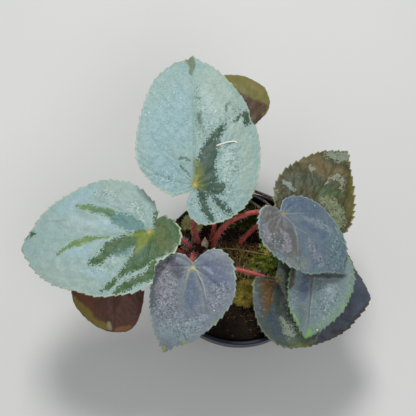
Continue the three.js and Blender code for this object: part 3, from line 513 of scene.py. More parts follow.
# The white fibre on the back leaf: places across and along the midrib, with their height above the leaf
WHITE_FIBRE = ((13, 24, 0.45), (16, 25.2, 0.6), (19, 26.2, 0.75), (22, 26.9, 0.7), (24.5, 27, 0.6), (25.4, 26, 0.5))

# The studio, in metres: each light's place, width and power, the spot they point at, and the camera
LIGHTS = (("key light", (-0.08, 0.55, 1.0), 0.3, 6.8), ("fill light", (0.2, -0.5, 0.9), 0.6, 2.4))
LIT_SPOT = (0, 0.02, 0.08)
CAMERA = {"at": (-0.0194, -0.1540, 0.5451), "tilt": 22, "lens": 69.23}


# Selecting, shaping and finishing a piece
def select_only(piece):
    if bpy.context.object and bpy.context.object.mode != "OBJECT":
        bpy.ops.object.mode_set(mode="OBJECT")
    bpy.ops.object.select_all(action="DESELECT")
    if piece:
        piece.select_set(True)
        bpy.context.view_layer.objects.active = piece


def named(name):
    piece = bpy.context.object
    piece.name = name
    piece.data.name = name
    return piece


def points_of(piece):
    points = np.empty(len(piece.data.vertices) * 3)
    piece.data.vertices.foreach_get("co", points)
    return points.reshape(-1, 3) / MM


def move_points(piece, points):
    piece.data.vertices.foreach_set("co", (np.asarray(points) * MM).ravel())
    piece.data.update()


def normals_of(piece):
    normals = np.empty(len(piece.data.vertices) * 3)
    piece.data.vertices.foreach_get("normal", normals)
    return normals.reshape(-1, 3)


def put_attribute(piece, name, values):
    attribute = piece.data.attributes.new(name, "FLOAT", "POINT")
    attribute.data.foreach_set("value", np.asarray(values, dtype=np.float32))


def attribute_of(piece, name):
    values = np.empty(len(piece.data.vertices), dtype=np.float32)
    piece.data.attributes[name].data.foreach_get("value", values)
    return values


def edit_all(piece):
    """Opens a piece in edit mode with all of it selected."""
    select_only(piece)
    bpy.ops.object.mode_set(mode="EDIT")
    bpy.ops.mesh.select_all(action="SELECT")


def weld(piece, distance=0.004):
    edit_all(piece)
    bpy.ops.mesh.remove_doubles(threshold=distance * MM)
    bpy.ops.mesh.normals_make_consistent(inside=False)
    bpy.ops.object.mode_set(mode="OBJECT")


def face_towards(piece, direction):
    """Turns an open sheet over when its faces look away from the direction."""
    normals = np.empty(len(piece.data.polygons) * 3)
    piece.data.polygons.foreach_get("normal", normals)
    if normals.reshape(-1, 3).mean(0) @ np.asarray(direction) < 0:
        edit_all(piece)
        bpy.ops.mesh.flip_normals()
        bpy.ops.object.mode_set(mode="OBJECT")


def apply_modifier(piece, kind, **settings):
    select_only(piece)
    modifier = piece.modifiers.new(kind.lower(), kind)
    for setting, value in settings.items():
        setattr(modifier, setting, value)
    bpy.ops.object.modifier_apply(modifier=modifier.name)


def finish_piece(piece, materials, nodes=(), smooth_angle=None):
    select_only(piece)
    piece.data.materials.clear()
    for material in materials:
        piece.data.materials.append(material)
    if smooth_angle is None:
        bpy.ops.object.shade_smooth()
    else:
        bpy.ops.object.shade_smooth_by_angle(angle=math.radians(smooth_angle))
    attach(piece, "root")
    if nodes:
        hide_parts(*nodes)


def wander(points, size, seed, waves=14):
    """Smooth wandering values, mostly within -1 to 1, that change over about the given size."""
    random = np.random.default_rng(seed)
    directions = random.normal(size=(waves, points.shape[1]))
    directions /= np.linalg.norm(directions, axis=1)[:, None]
    directions *= (TURN / size * random.uniform(0.5, 1.5, waves))[:, None]
    phases = random.uniform(0, TURN, waves)
    return np.sin(points @ directions.T + phases).sum(1) / math.sqrt(waves * 1.6)


def mapped_grid(name, columns, rows):
    """A plane grid, and the share of the way across and up it of each of its points."""
    select_only(None)
    bpy.ops.mesh.primitive_grid_add(x_subdivisions=columns, y_subdivisions=rows, size=2)
    piece = named(name)
    shares = points_of(piece) * MM / 2 + 0.5
    return piece, np.clip(shares[:, 0], 0, 1), np.clip(shares[:, 1], 0, 1)


def smooth_path(points, count):
    """A smooth line through the points, at even steps."""
    points = np.asarray(points, dtype=float)
    ends = np.vstack([2 * points[0] - points[1], points, 2 * points[-1] - points[-2]])
    knots = [0.0]
    for a, b in zip(ends[:-1], ends[1:]):
        knots.append(knots[-1] + max(1e-4, math.sqrt(np.linalg.norm(b - a))))
    line = []
    for i in range(1, len(ends) - 2):
        t0, t1, t2, t3 = knots[i - 1 : i + 3]
        p0, p1, p2, p3 = ends[i - 1 : i + 3]
        for t in np.linspace(t1, t2, 40, endpoint=False):
            a1 = (t1 - t) / (t1 - t0) * p0 + (t - t0) / (t1 - t0) * p1
            a2 = (t2 - t) / (t2 - t1) * p1 + (t - t1) / (t2 - t1) * p2
            a3 = (t3 - t) / (t3 - t2) * p2 + (t - t2) / (t3 - t2) * p3
            b1 = (t2 - t) / (t2 - t0) * a1 + (t - t0) / (t2 - t0) * a2
            b2 = (t3 - t) / (t3 - t1) * a2 + (t - t1) / (t3 - t1) * a3
            line.append((t2 - t) / (t2 - t1) * b1 + (t - t1) / (t2 - t1) * b2)
    line.append(points[-1])
    line = np.array(line)
    steps = np.concatenate([[0], np.cumsum(np.linalg.norm(np.diff(line, axis=0), axis=1))])
    at = np.linspace(0, steps[-1], count)
    return np.stack([np.interp(at, steps, line[:, k]) for k in range(3)], axis=1)


def tube(name, path, radii, sides=3, steps=48):
    """A closed round stem along a path: a bevelled curve made into a mesh."""
    points = smooth_path(path, steps)
    curve = bpy.data.curves.new(name, "CURVE")
    curve.dimensions = "3D"
    curve.bevel_depth = MM
    curve.bevel_resolution = sides
    curve.use_fill_caps = True
    spline = curve.splines.new("POLY")
    spline.points.add(len(points) - 1)
    for i, (spot, point) in enumerate(zip(spline.points, points)):
        share = i / (len(points) - 1)
        spot.co = (*(point * MM), 1)
        spot.radius = radii(share)
    piece = bpy.data.objects.new(name, curve)
    bpy.context.collection.objects.link(piece)
    select_only(piece)
    bpy.ops.object.convert(target="MESH")
    piece = named(name)
    weld(piece, 0.001)
    surface = points_of(piece)
    nearest = np.argmin(((surface[:, None, :] - points[None, :, :]) ** 2).sum(2), axis=1)
    put_attribute(piece, "along", nearest / (len(points) - 1))
    return piece, points


def copies(name, template, places):
    """One piece of many copies of a small template. Each place is a 4 by 4 matrix in millimetres."""
    shape = points_of(template)
    corners = [list(polygon.vertices) for polygon in template.data.polygons]
    homogeneous = np.hstack([shape, np.ones((len(shape), 1))])
    stacked = np.concatenate([(homogeneous @ np.asarray(place).T)[:, :3] for place in places])
    faces = [[corner + len(shape) * k for corner in face] for k in range(len(places)) for face in corners]
    mesh = bpy.data.meshes.new(name)
    mesh.from_pydata((stacked * MM).tolist(), [], faces)
    piece = bpy.data.objects.new(name, mesh)
    bpy.context.collection.objects.link(piece)
    put_attribute(piece, "which", np.repeat(np.random.default_rng(len(places)).uniform(0, 1, len(places)), len(shape)))
    return piece


def drop(*pieces):
    for piece in pieces:
        bpy.data.objects.remove(piece, do_unlink=True)


def facing(at, direction, spin=0.0, size=(1, 1, 1)):
    """A place whose own +Z points along the direction."""
    turn = Vector(direction).to_track_quat("Z", "Y").to_matrix().to_4x4()
    spun = Matrix.Rotation(spin, 4, "Z")
    sized = Matrix.Diagonal((*size, 1))
    return np.array(Matrix.Translation(Vector(at)) @ turn @ spun @ sized)


# Materials
def colour(code, strength=1.0):
    levels = [int(code[i : i + 2], 16) / 255 for i in (1, 3, 5)]
    linear = [c / 12.92 if c <= 0.04045 else ((c + 0.055) / 1.055) ** 2.4 for c in levels]
    return (*[c * strength for c in linear], 1)


class Painter:
    """Adds shader nodes to a tree and joins them."""

    def __init__(self, tree):
        self.tree = tree

    def add(self, kind, **settings):
        node = self.tree.nodes.new(kind)
        for setting, value in settings.items():
            setattr(node, setting, value)
        return node

    def put(self, value, socket):
        if isinstance(value, bpy.types.NodeSocket):
            self.tree.links.new(value, socket)
        else:
            socket.default_value = value

    def place(self):
        return self.add("ShaderNodeTexCoord").outputs["Object"]

    def attribute(self, name):
        return self.add("ShaderNodeAttribute", attribute_name=name).outputs["Fac"]

    def noise(self, place, size, detail=4, roughness=0.6, distortion=0.0):
        node = self.add("ShaderNodeTexNoise")
        self.put(place, node.inputs["Vector"])
        node.inputs["Scale"].default_value = 1 / (size * MM)
        node.inputs["Detail"].default_value = detail
        node.inputs["Roughness"].default_value = roughness
        node.inputs["Distortion"].default_value = distortion
        return node.outputs["Fac"]

    def cells(self, place, size, feature="F1", randomness=1.0):
        node = self.add("ShaderNodeTexVoronoi", feature=feature)
        self.put(place, node.inputs["Vector"])
        node.inputs["Scale"].default_value = 1 / (size * MM)
        node.inputs["Randomness"].default_value = randomness
        return node

    def span(self, value, low, high, to_low=0.0, to_high=1.0):
        node = self.add("ShaderNodeMapRange", interpolation_type="SMOOTHSTEP")
        self.put(value, node.inputs["Value"])
        for socket, number in zip(("From Min", "From Max", "To Min", "To Max"), (low, high, to_low, to_high)):
            self.put(number, node.inputs[socket])
        return node.outputs["Result"]

    def reckon(self, operation, a, b=0.0):
        node = self.add("ShaderNodeMath", operation=operation)
        self.put(a, node.inputs[0])
        self.put(b, node.inputs[1])
        return node.outputs[0]

    def mix(self, share, a, b):
        node = self.add("ShaderNodeMix", data_type="RGBA")
        self.put(share, node.inputs[0])
        self.put(a, node.inputs[6])
        self.put(b, node.inputs[7])
        return node.outputs[2]

    def bump(self, height, strength, distance):
        node = self.add("ShaderNodeBump")
        self.put(height, node.inputs["Height"])
        node.inputs["Strength"].default_value = strength
        node.inputs["Distance"].default_value = distance * MM
        return node.outputs["Normal"]

    def group(self, tree, **values):
        node = self.add("ShaderNodeGroup", node_tree=tree)
        for name, value in values.items():
            self.put(value, node.inputs[name])
        return node


def new_group(name, inputs, outputs):
    """A node group whose sockets all carry one number."""
    tree = bpy.data.node_groups.new(name, "ShaderNodeTree")
    for label, default in inputs.items():
        socket = tree.interface.new_socket(label, in_out="INPUT", socket_type="NodeSocketFloat")
        socket.default_value = default
    for label in outputs:
        tree.interface.new_socket(label, in_out="OUTPUT", socket_type="NodeSocketFloat")
    painter = Painter(tree)
    return tree, painter, painter.add("NodeGroupInput"), painter.add("NodeGroupOutput")


def ragged_group():
    """A painted mask whose edge frays into the leaf's own grain."""
    tree, p, given, result = new_group("ragged edge", {"Mask": 0.0, "Fray": 0.6, "Cell": 0.5}, ("Mask",))
    coarse = p.reckon("MULTIPLY", p.reckon("SUBTRACT", p.noise(p.place(), 3.2, 3, 0.6), 0.5), 1.1)
    pebble = p.reckon("MULTIPLY", p.reckon("SUBTRACT", given.outputs["Cell"], 0.5), 0.85)
    swing = p.reckon("MULTIPLY", p.reckon("ADD", coarse, pebble), given.outputs["Fray"])
    frayed = p.reckon("ADD", given.outputs["Mask"], swing)
    inside = p.span(given.outputs["Mask"], 0.02, 0.25)
    edge = p.reckon("SUBTRACT", 0.5, p.reckon("MULTIPLY", p.reckon("SUBTRACT", 1.0, given.outputs["Fray"]), 0.38))
    far = p.reckon("SUBTRACT", 1.0, edge)
    torn = p.span(frayed, p.reckon("SUBTRACT", edge, 0.08), p.reckon("ADD", far, 0.08))
    p.put(p.reckon("MULTIPLY", torn, inside), result.inputs["Mask"])
    return tree


def grain_group():
    """The pebbled skin of a begonia leaf: small raised cells, each with its own glint."""
    tree, p, given, result = new_group("pebbled skin", {"Size": 1.0}, ("Cell", "Glint", "Mottle", "Height"))
    place = p.add("ShaderNodeVectorMath", operation="SCALE")
    p.put(p.place(), place.inputs[0])
    p.put(given.outputs["Size"], place.inputs["Scale"])
    spot = place.outputs[0]
    pebbles = p.cells(spot, 0.8)
    rise = p.span(pebbles.outputs["Distance"], 0.0, 0.75, 1.0, 0.0)
    chance = p.add("ShaderNodeSeparateColor")
    p.put(pebbles.outputs["Color"], chance.inputs[0])
    p.put(chance.outputs[0], result.inputs["Cell"])
    p.put(p.reckon("MULTIPLY", p.span(chance.outputs[0], 0.35, 1.0), rise), result.inputs["Glint"])
    p.put(p.noise(spot, 7, 4, 0.6), result.inputs["Mottle"])
    wrinkle = p.noise(spot, 2.2, 3, 0.55)
    p.put(p.reckon("ADD", p.reckon("MULTIPLY", rise, 0.5), wrinkle), result.inputs["Height"])
    return tree


def speckle_group():
    """Uneven grit, crumbs and dust: a fine and a coarse mask."""
    tree, p, given, result = new_group("grit", {"Size": 1.0}, ("Fine", "Coarse", "Height"))
    place = p.add("ShaderNodeVectorMath", operation="SCALE")
    p.put(p.place(), place.inputs[0])
    p.put(given.outputs["Size"], place.inputs["Scale"])
    fine = p.noise(place.outputs[0], 0.8, 4, 0.7)
    coarse = p.noise(place.outputs[0], 6, 4, 0.6)
    p.put(p.span(fine, 0.42, 0.62), result.inputs["Fine"])
    p.put(p.span(coarse, 0.4, 0.62), result.inputs["Coarse"])
    p.put(p.reckon("ADD", fine, coarse), result.inputs["Height"])
    return tree


RAGGED = ragged_group()
GRAIN = grain_group()
GRIT = speckle_group()


def new_material(name, roughness=0.5, specular=0.5):
    material = bpy.data.materials.new(name)
    material.use_nodes = True
    material.node_tree.nodes.clear()
    p = Painter(material.node_tree)
    shader = p.add("ShaderNodeBsdfPrincipled")
    shader.inputs["Roughness"].default_value = roughness
    shader.inputs["Specular IOR Level"].default_value = specular
    p.put(shader.outputs[0], p.add("ShaderNodeOutputMaterial").inputs["Surface"])
    return material, p, shader


def leaf_top(name):
    """The painted top of a leaf: pebbled skin, layers of brush strokes, specks, pale veins, a heart and a pale edge."""
    paint = PAINT[name]
    material, p, shader = new_material("leaf " + name.replace("_", " "), specular=0.35)
    grain = p.group(GRAIN, Size=1.0)
    glint, cell = grain.outputs["Glint"], grain.outputs["Cell"]
    tone = p.mix(p.span(grain.outputs["Mottle"], 0.35, 0.65), colour(paint["base"]), colour(paint["cool"]))
    tone = p.mix(p.span(p.attribute("vein"), 0.05, 0.9, 0.0, 0.45), tone, colour(paint["vein"]))
    net = p.cells(p.place(), 3.4, "DISTANCE_TO_EDGE", 0.9).outputs["Distance"]
    tone = p.mix(p.span(net, 0.0, 0.09, 0.2, 0.0), tone, colour(paint["vein"]))
    speckled = p.span(p.attribute("specks"), 0.0, 1.0, paint["grain"], 1.0)
    for i, layer in enumerate(paint["layers"]):
        if layer is SPECKLE:
            dark_cells = p.reckon("MULTIPLY", p.span(cell, 0.1, 0.4, 0.6, 0.0), speckled)
            # Pale cells: the leaf's silver flecks, partly painted glints. Dark cells: its dark flecks
            pale_and_glint_cells = p.reckon("MULTIPLY", p.span(cell, 0.7, 1.0, 0.0, 0.55), speckled)
            tone = p.mix(dark_cells, tone, colour(paint["pit"]))
            tone = p.mix(pale_and_glint_cells, tone, colour(paint["speck"]))
            continue
        code, _, fray, strength, _ = layer
        mask = p.attribute(f"paint_{i}")
        if fray:
            mask = p.group(RAGGED, Mask=mask, Fray=float(fray), Cell=cell).outputs["Mask"]
        tone = p.mix(p.span(mask, 0.0, 1.0, 0.0, strength), tone, colour(code))
    heart = p.attribute("heart")
    tone = p.mix(p.span(heart, 0.05, 0.7, 0.0, 0.6), tone, colour(paint.get("halo", paint["base"])))
    tone = p.mix(p.span(heart, 0.5, 0.95, 0.0, 0.75), tone, colour(paint.get("heart", paint["base"])))
    patchy = p.span(p.noise(p.place(), 5, 3), 0.35, 0.6, 0.35, 1.0)
    rim = p.span(p.attribute("margin"), 0.2, 0.85, 0.0, 0.85)
    tone = p.mix(p.reckon("MULTIPLY", patchy, rim), tone, colour(paint["edge"]))
    p.put(tone, shader.inputs["Base Color"])
    p.put(p.span(glint, 0.0, 1.0, 0.5, 0.34), shader.inputs["Roughness"])
    p.put(p.bump(grain.outputs["Height"], 0.6, 0.18), shader.inputs["Normal"])
    return material


def leaf_underside(name, flesh, rib):
    material, p, shader = new_material("underside " + name, 0.6, 0.3)
    mottle = p.group(GRAIN, Size=1.0)
    tone = p.mix(p.span(mottle.outputs["Mottle"], 0.3, 0.7), colour(flesh), colour(flesh, 0.6))
    net = p.cells(p.place(), 3.4, "DISTANCE_TO_EDGE", 0.9).outputs["Distance"]
    tone = p.mix(p.span(net, 0.0, 0.12, 0.45, 0.0), tone, colour(rib))
    tone = p.mix(p.span(p.attribute("vein"), 0.05, 0.7, 0.0, 0.9), tone, colour(rib))
    tone = p.mix(p.span(p.attribute("margin"), 0.3, 0.9, 0.0, 0.6), tone, colour("#8a8f58"))
    p.put(tone, shader.inputs["Base Color"])
    p.put(p.bump(mottle.outputs["Height"], 0.5, 0.2), shader.inputs["Normal"])
    return material


def petiole_skin():
    material, p, shader = new_material("petiole skin", 0.5, 0.4)
    grit = p.group(GRIT, Size=1.6)
    tone = p.mix(p.span(p.attribute("along"), 0.0, 1.0), colour("#b03a2c"), colour("#bb4a3e"))
    tone = p.mix(p.reckon("MULTIPLY", grit.outputs["Fine"], 0.6), tone, colour("#d88074"))
    tone = p.mix(p.reckon("MULTIPLY", grit.outputs["Coarse"], 0.45), tone, colour("#741e16"))
    p.put(tone, shader.inputs["Base Color"])
    p.put(p.bump(grit.outputs["Height"], 0.5, 0.15), shader.inputs["Normal"])
    return material


def plain_finish(name, light, dark, pale=None, size=1.0, roughness=0.8, relief=0.3, specular=0.3):
    """A grainy natural surface in three tones."""
    material, p, shader = new_material(name, roughness, specular)
    grit = p.group(GRIT, Size=size)
    tone = p.mix(grit.outputs["Coarse"], colour(light), colour(dark))
    tone = p.mix(p.reckon("MULTIPLY", grit.outputs["Fine"], 0.5), tone, colour(pale or light))
    p.put(tone, shader.inputs["Base Color"])
    p.put(p.bump(grit.outputs["Height"], 0.7, relief), shader.inputs["Normal"])
    return material


def varied_finish(name, first, second, third, roughness=0.7, specular=0.3):
    """A finish whose tone changes from copy to copy, with a little grit."""
    material, p, shader = new_material(name, roughness, specular)
    which = p.attribute("which")
    tone = p.mix(p.span(which, 0.2, 0.6), colour(first), colour(second))
    tone = p.mix(p.span(which, 0.72, 0.95), tone, colour(third))
    grit = p.group(GRIT, Size=1.4)
    tone = p.mix(p.reckon("MULTIPLY", grit.outputs["Fine"], 0.35), tone, colour(first, 0.5))
    p.put(tone, shader.inputs["Base Color"])
    p.put(p.bump(grit.outputs["Height"], 0.4, 0.1), shader.inputs["Normal"])
    return material


def pot_plastic():
    """Thin dark blue-violet moulded plastic with a faint grain, dust and a few rubbed spots."""
    material, p, shader = new_material("pot plastic", 0.45, 0.3)
    grit = p.group(GRIT, Size=0.7)
    tone = p.mix(grit.outputs["Coarse"], colour("#17172a"), colour("#1d1d34"))
    dust = p.span(p.noise(p.place(), 14, 5, 0.65), 0.5, 0.75, 0.0, 0.3)
    tone = p.mix(dust, tone, colour("#3a3640"))
    scratches = p.noise(p.place(), 1.1, 2, 0.5, 1.5)
    tone = p.mix(p.span(scratches, 0.66, 0.74, 0.0, 0.4), tone, colour("#6a6874"))
    p.put(tone, shader.inputs["Base Color"])
    p.put(p.span(dust, 0.0, 0.3, 0.42, 0.62), shader.inputs["Roughness"])
    p.put(p.bump(grit.outputs["Height"], 0.25, 0.08), shader.inputs["Normal"])
    return material


# The pot: a lathe-turned wall made ring by ring, then pierced
def build_pot():
    flare = POT["rim_radius"] - POT["flare"]
    outer, inner = POT["rim_radius"], POT["rim_radius"] - POT["lip"]
    neck, band, top, bevel = POT["neck"], POT["band_foot"], POT["height"], POT["lip_edge"]
    # radius and height, up the outside, over the lip and down the inside to the middle of the floor
    profile = [
        (POT["base_radius"], POT["edge"]), (POT["body_radius"], neck), (POT["body_radius"] + 0.4, band),
        (flare, band), (flare + 0.15, band + 0.6), (outer - 0.15, 66.6), (outer, 67.4), (outer - bevel, top),
        (inner + bevel, top), (inner, 67.4), (46.2, 54), (44.5, neck), (31.8, 3), (30.5, POT["floor"]),
        (2, POT["floor"]),
    ]
    select_only(None)
    start = POT["base_radius"] - POT["edge"]
    bpy.ops.mesh.primitive_circle_add(vertices=POT["sides"], radius=start * MM, fill_type="NGON")
    pot = named("pot_shell")
    edit_all(pot)
    radius, height = start, 0
    for next_radius, next_height in profile:
        rise = (next_height - height) * MM
        bpy.ops.mesh.extrude_region_move(TRANSFORM_OT_translate={"value": (0, 0, rise)})
        scale = next_radius / radius
        bpy.ops.transform.resize(value=(scale, scale, 1), center_override=(0, 0, next_height * MM))
        radius, height = next_radius, next_height
    bpy.ops.object.mode_set(mode="OBJECT")
    weld(pot)
    for i in range(POT["holes"]):
        angle = (i + 0.5) / POT["holes"] * TURN
        at = (POT["hole_circle"] * MM * math.cos(angle), POT["hole_circle"] * MM * math.sin(angle), MM)
        select_only(None)
        bpy.ops.mesh.primitive_cylinder_add(
            vertices=POT["hole_sides"], radius=POT["hole_radius"] * MM, depth=POT["drill"] * MM, location=at
        )
        drill = named("drill")
        apply_modifier(pot, "BOOLEAN", operation="DIFFERENCE", object=drill, solver="EXACT")
        drop(drill)
    finish_piece(pot, [pot_plastic()], ["pot"], smooth_angle=POT["smooth_angle"])


# The soil: a body made from a grid in place of the imported one, with a crumbly top, loose crumbs and fibres on it
def soil_top(x, y):
    mound = SOIL["rise"] * np.exp(-((x - SOIL["at"][0]) ** 2 + (y - SOIL["at"][1]) ** 2) / (2 * SOIL["spread"] ** 2))
    ripple = 0.8 * np.sin(x / 4.1 + 1.3) * np.sin(y / 4.1 + 0.4) + 0.5 * np.sin((x - y) / 5.1)
    return SOIL["edge_height"] + mound + ripple


def spot_on_soil(random, reach):
    radius, angle = reach * math.sqrt(random.uniform()), random.uniform(0, TURN)
    return radius * math.cos(angle), radius * math.sin(angle)


def build_soil():
    soil, around, share = mapped_grid("soil_body", SOIL["columns"], SOIL["rows"])
    angle = around * TURN
    # the shares of the grid where the bottom turns into the foot, the foot into the wall, and the wall into the top
    foot, wall, brim = 0.05, 0.09, 0.2
    bottom, low = SOIL["bottom"], SOIL["foot_height"]
    wall_heights, wall_radii = zip(*SOIL_WALL)
    radius = np.interp(share, [0, foot, wall, brim, 1], [0, SOIL["foot_radius"], wall_radii[0], SOIL["top_radius"], 0])
    x, y = radius * np.cos(angle), radius * np.sin(angle)
    flat = np.stack([x, y], 1)
    crumble = sum(height * wander(flat, size, seed) for height, size, seed in SOIL_WAVES)
    top = soil_top(x, y) + crumble * np.clip((SOIL["top_radius"] - radius) / 3, 0, 1)
    z = np.where(share < brim, np.interp(share, [0, foot, wall, brim], [bottom, bottom, low, 0]), top)
    side = (share >= wall) & (share < brim)
    z = np.where(side, low + (share - wall) / (brim - wall) * (top - low), z)
    radius_side = np.interp(z, wall_heights, wall_radii)
    x = np.where(side, radius_side * np.cos(angle), x)
    y = np.where(side, radius_side * np.sin(angle), y)
    move_points(soil, np.stack([x, y, z], 1))
    weld(soil)
    finish_piece(soil, [plain_finish("peat soil", "#190f05", "#0b0603", "#2c1d0b", 1.0, 0.9, 0.6)], ["soil"])

    random = np.random.default_rng(21)
    select_only(None)
    bpy.ops.mesh.primitive_ico_sphere_add(subdivisions=1, radius=MM)
    crumb_shape = named("crumb")
    corners = points_of(crumb_shape)
    move_points(crumb_shape, corners * (1 + 0.35 * wander(corners, 1.3, 3))[:, None])
    places = []
    for _ in range(SOIL["crumbs"]):
        x, y = spot_on_soil(random, SOIL["crumbs_reach"])
        size = random.uniform(0.35, 1.15) * np.array([1, random.uniform(0.6, 1), random.uniform(0.5, 0.9)])
        at = (x, y, float(soil_top(x, y)) + 0.2)
        places.append(facing(at, random.normal(size=3), random.uniform(0, TURN), size))
    crumbs = copies("soil_crumbs", crumb_shape, places)
    drop(crumb_shape)
    finish_piece(crumbs, [varied_finish("crumbs", "#1a1007", "#2c1c0c", "#543d20", 0.9)])


def strand_places(count, seed, length, at_point):
    """Places of thin straight pieces that lie about, one after the other in short bent runs."""
    random = np.random.default_rng(seed)
    places = []
    for _ in range(count):
        at, heading = at_point(random)
        turn = random.uniform(-0.5, 0.5)
        step = length * random.uniform(0.6, 1.3) / FIBRE["steps"]
        tilt = random.uniform(-0.2, 0.35)
        for _ in range(FIBRE["steps"]):
            direction = (math.cos(heading), math.sin(heading), tilt)
            places.append(facing(at, direction, random.uniform(0, TURN), (1, 1, step)))
            at = tuple(np.array(at) + np.array(direction) / math.sqrt(1 + tilt * tilt) * step * 0.93)
            heading += turn
            tilt -= 0.16
    return places


def build_fibres():
    """Loose root fibres all over the soil, and a mat of old ones over the creeping stem."""
    select_only(None)
    bpy.ops.mesh.primitive_cylinder_add(vertices=4, radius=FIBRE["radius"] * MM, depth=MM, location=(0, 0, 0.5 * MM))
    fibre = named("fibre")
    bpy.ops.object.transform_apply(location=True)

    def on_soil(random):
        x, y = spot_on_soil(random, FIBRE["reach"])
        return (x, y, float(soil_top(x, y)) + 0.5), random.uniform(0, TURN)

    piece = copies("soil_fibres", fibre, strand_places(FIBRE["loose"], 5, FIBRE["loose_length"], on_soil))
    finish_piece(piece, [varied_finish("root fibres", "#5a4326", "#7d6238", "#a08a5a", 0.8)])

    stem = np.array(RHIZOME["path"])[::-1]

    def over_stem(random):
        x, y = random.uniform(-15, 27), random.normal(4.5, 5)
        middle, height = (np.interp(x, stem[:, 0], stem[:, i]) for i in (1, 2))
        aside = (y - middle) / RHIZOME["over"]
        ridge = height + RHIZOME["over"] * math.sqrt(1 - aside * aside) if abs(aside) < 1 else 0
        return (x, y, max(ridge, float(soil_top(x, y)) + 0.6)), random.uniform(-0.9, 0.9) - TURN / 4

    litter = copies("crown_fibres", fibre, strand_places(FIBRE["old"], 6, FIBRE["old_length"], over_stem))
    finish_piece(litter, [varied_finish("old fibres", "#96793a", "#b89c58", "#d8c488", 0.8)])
    drop(fibre)


# The rhizome, its petioles and their hairs
def round_end(depth, least):
    """How wide a stem still is at a share of the depth of its rounded end."""
    return math.sqrt(max(least, 1 - max(0, depth) ** 2))


def build_rhizome():
    def radius(share):
        bulge = 0.5 * math.cos(TURN * 9 * share)
        end = round_end(max((0.04 - share) / 0.04, (share - 0.95) / 0.05), 0.02)
        return (RHIZOME["radius"] + (RHIZOME["crown"] - RHIZOME["radius"]) * share**3 + bulge) * end

    rhizome, _ = tube("rhizome_stem", RHIZOME["path"], radius, 6, 120)
    points = points_of(rhizome)
    lumps = 0.4 * wander(points, 4, 31) + 0.2 * wander(points, 1.6, 32)
    move_points(rhizome, points + normals_of(rhizome) * lumps[:, None])
    skin = plain_finish("rhizome skin", "#3a2115", "#20120b", "#5e4230", 0.8, 0.8, 0.5)
    finish_piece(rhizome, [skin], ["rhizome"])


def blade_frame(leaf):
    heading, pitch, roll = (math.radians(leaf[key]) for key in ("heading", "pitch", "roll"))
    along = Vector((math.sin(heading) * math.cos(pitch), math.cos(heading) * math.cos(pitch), math.sin(pitch)))
    across = along.cross(Vector((0, 0, 1))).normalized()
    across.rotate(Matrix.Rotation(roll, 3, along))
    return (np.array(leaf["attach"], dtype=float), np.array(across), np.array(along), np.array(across.cross(along)))


def blade_height(leaf, x, y):
    belly = BLADE["belly"] * leaf["length"]
    reach = leaf["length"] - belly
    round_ = (x / leaf["half_width"]) ** 2 + ((y - belly) / reach) ** 2 - (belly / reach) ** 2
    keel = math.tan(math.radians(leaf["fold"])) * (np.hypot(x, BLADE["keel_softness"]) - BLADE["keel_softness"])
    nod = leaf["tip_drop"] * np.maximum(0, (y / leaf["length"] - BLADE["nod_start"]) / (1 - BLADE["nod_start"])) ** 2
    out = (x * x + y * y) / leaf["length"] ** 2
    ripple = leaf["wave"] * out * np.sin(leaf["waves"] * np.arctan2(x, y) + leaf["phase"])
    return keel - leaf["cup"] * round_ - nod + ripple


def on_blade(leaf, x, y, lift=0.0):
    origin, across, along, normal = blade_frame(leaf)
    x, y = np.asarray(x, dtype=float), np.asarray(y, dtype=float)
    height = blade_height(leaf, x, y) + lift
    return origin + x[..., None] * across + y[..., None] * along + height[..., None] * normal


def outline(points, count):
    """Even steps along a smooth line through points on a plane."""
    points = np.array(points, dtype=float)
    last = len(points) - 1
    position = np.linspace(0, last, 1200)
    index = np.minimum(position.astype(int), last - 1)
    t = (position - index)[:, None]
    p0 = points[np.maximum(index - 1, 0)]
    p0[index == 0] = points[0]
    p1, p2 = points[index], points[np.minimum(index + 1, last)]
    p3 = points[np.minimum(index + 2, last)]
    v0, v1 = (p2 - p0) / 2, (p3 - p1) / 2
    line = (2 * p1 - 2 * p2 + v0 + v1) * t**3 + (-3 * p1 + 3 * p2 - 2 * v0 - v1) * t**2 + v0 * t + p1
    steps = np.concatenate([[0], np.cumsum(np.linalg.norm(np.diff(line, axis=0), axis=1))])
    at = np.linspace(0, steps[-1], count)
    return np.stack([np.interp(at, steps, line[:, 0]), np.interp(at, steps, line[:, 1])], 1), steps[-1]


def toothed_margin(leaf, columns, seed):
    """The margin as a closed loop of columns points from the tip, and the points before its teeth are cut."""
    half = columns // 2
    random = np.random.default_rng(seed)
    bare, cut = [], []
    for side, sign in (("left", 1), ("right", -1)):
        line, length = outline([(0, leaf["length"]), *leaf[side], leaf["notch"]], half + 1)
        ahead = np.gradient(line, axis=0)
        ahead /= np.linalg.norm(ahead, axis=1)[:, None]
        outward = np.stack([ahead[:, 1], -ahead[:, 0]], 1) * sign
        distance = length - np.linspace(0, length, half + 1)
        knots = [0.0]
        while knots[-1] < length:
            knots.append(knots[-1] + leaf["teeth"][1] * random.uniform(0.6, 1.35))
        knots = np.array(knots)
        which = np.clip(np.searchsorted(knots, distance, side="right") - 1, 0, len(knots) - 2)
        share = (distance - knots[which]) / (knots[which + 1] - knots[which])
        depth = random.uniform(0.45, 1.25, len(knots))[which]
        minor = np.abs((share * 2) % 1)
        profile = np.where(share < 0.82, (share / 0.82) ** 1.2, (1 - share) / 0.18) + 0.16 * minor * (1 - minor) * 4
        # no teeth near the petiole, in the notch or at the tip
        fade = np.clip(np.hypot(*line.T) / 14, 0, 1) * np.clip(distance / 6, 0, 1)
        fade = fade * np.clip((length - distance) / 3, 0, 1)
        shift = leaf["teeth"][0] * (profile - 0.35) * depth * fade
        bare.append(line)
        cut.append(line + outward * shift[:, None] - ahead * (shift * 0.45)[:, None])
    whole = [np.vstack([sides[0], sides[1][::-1][1:]]) for sides in (bare, cut)]
    return whole[0], whole[1]


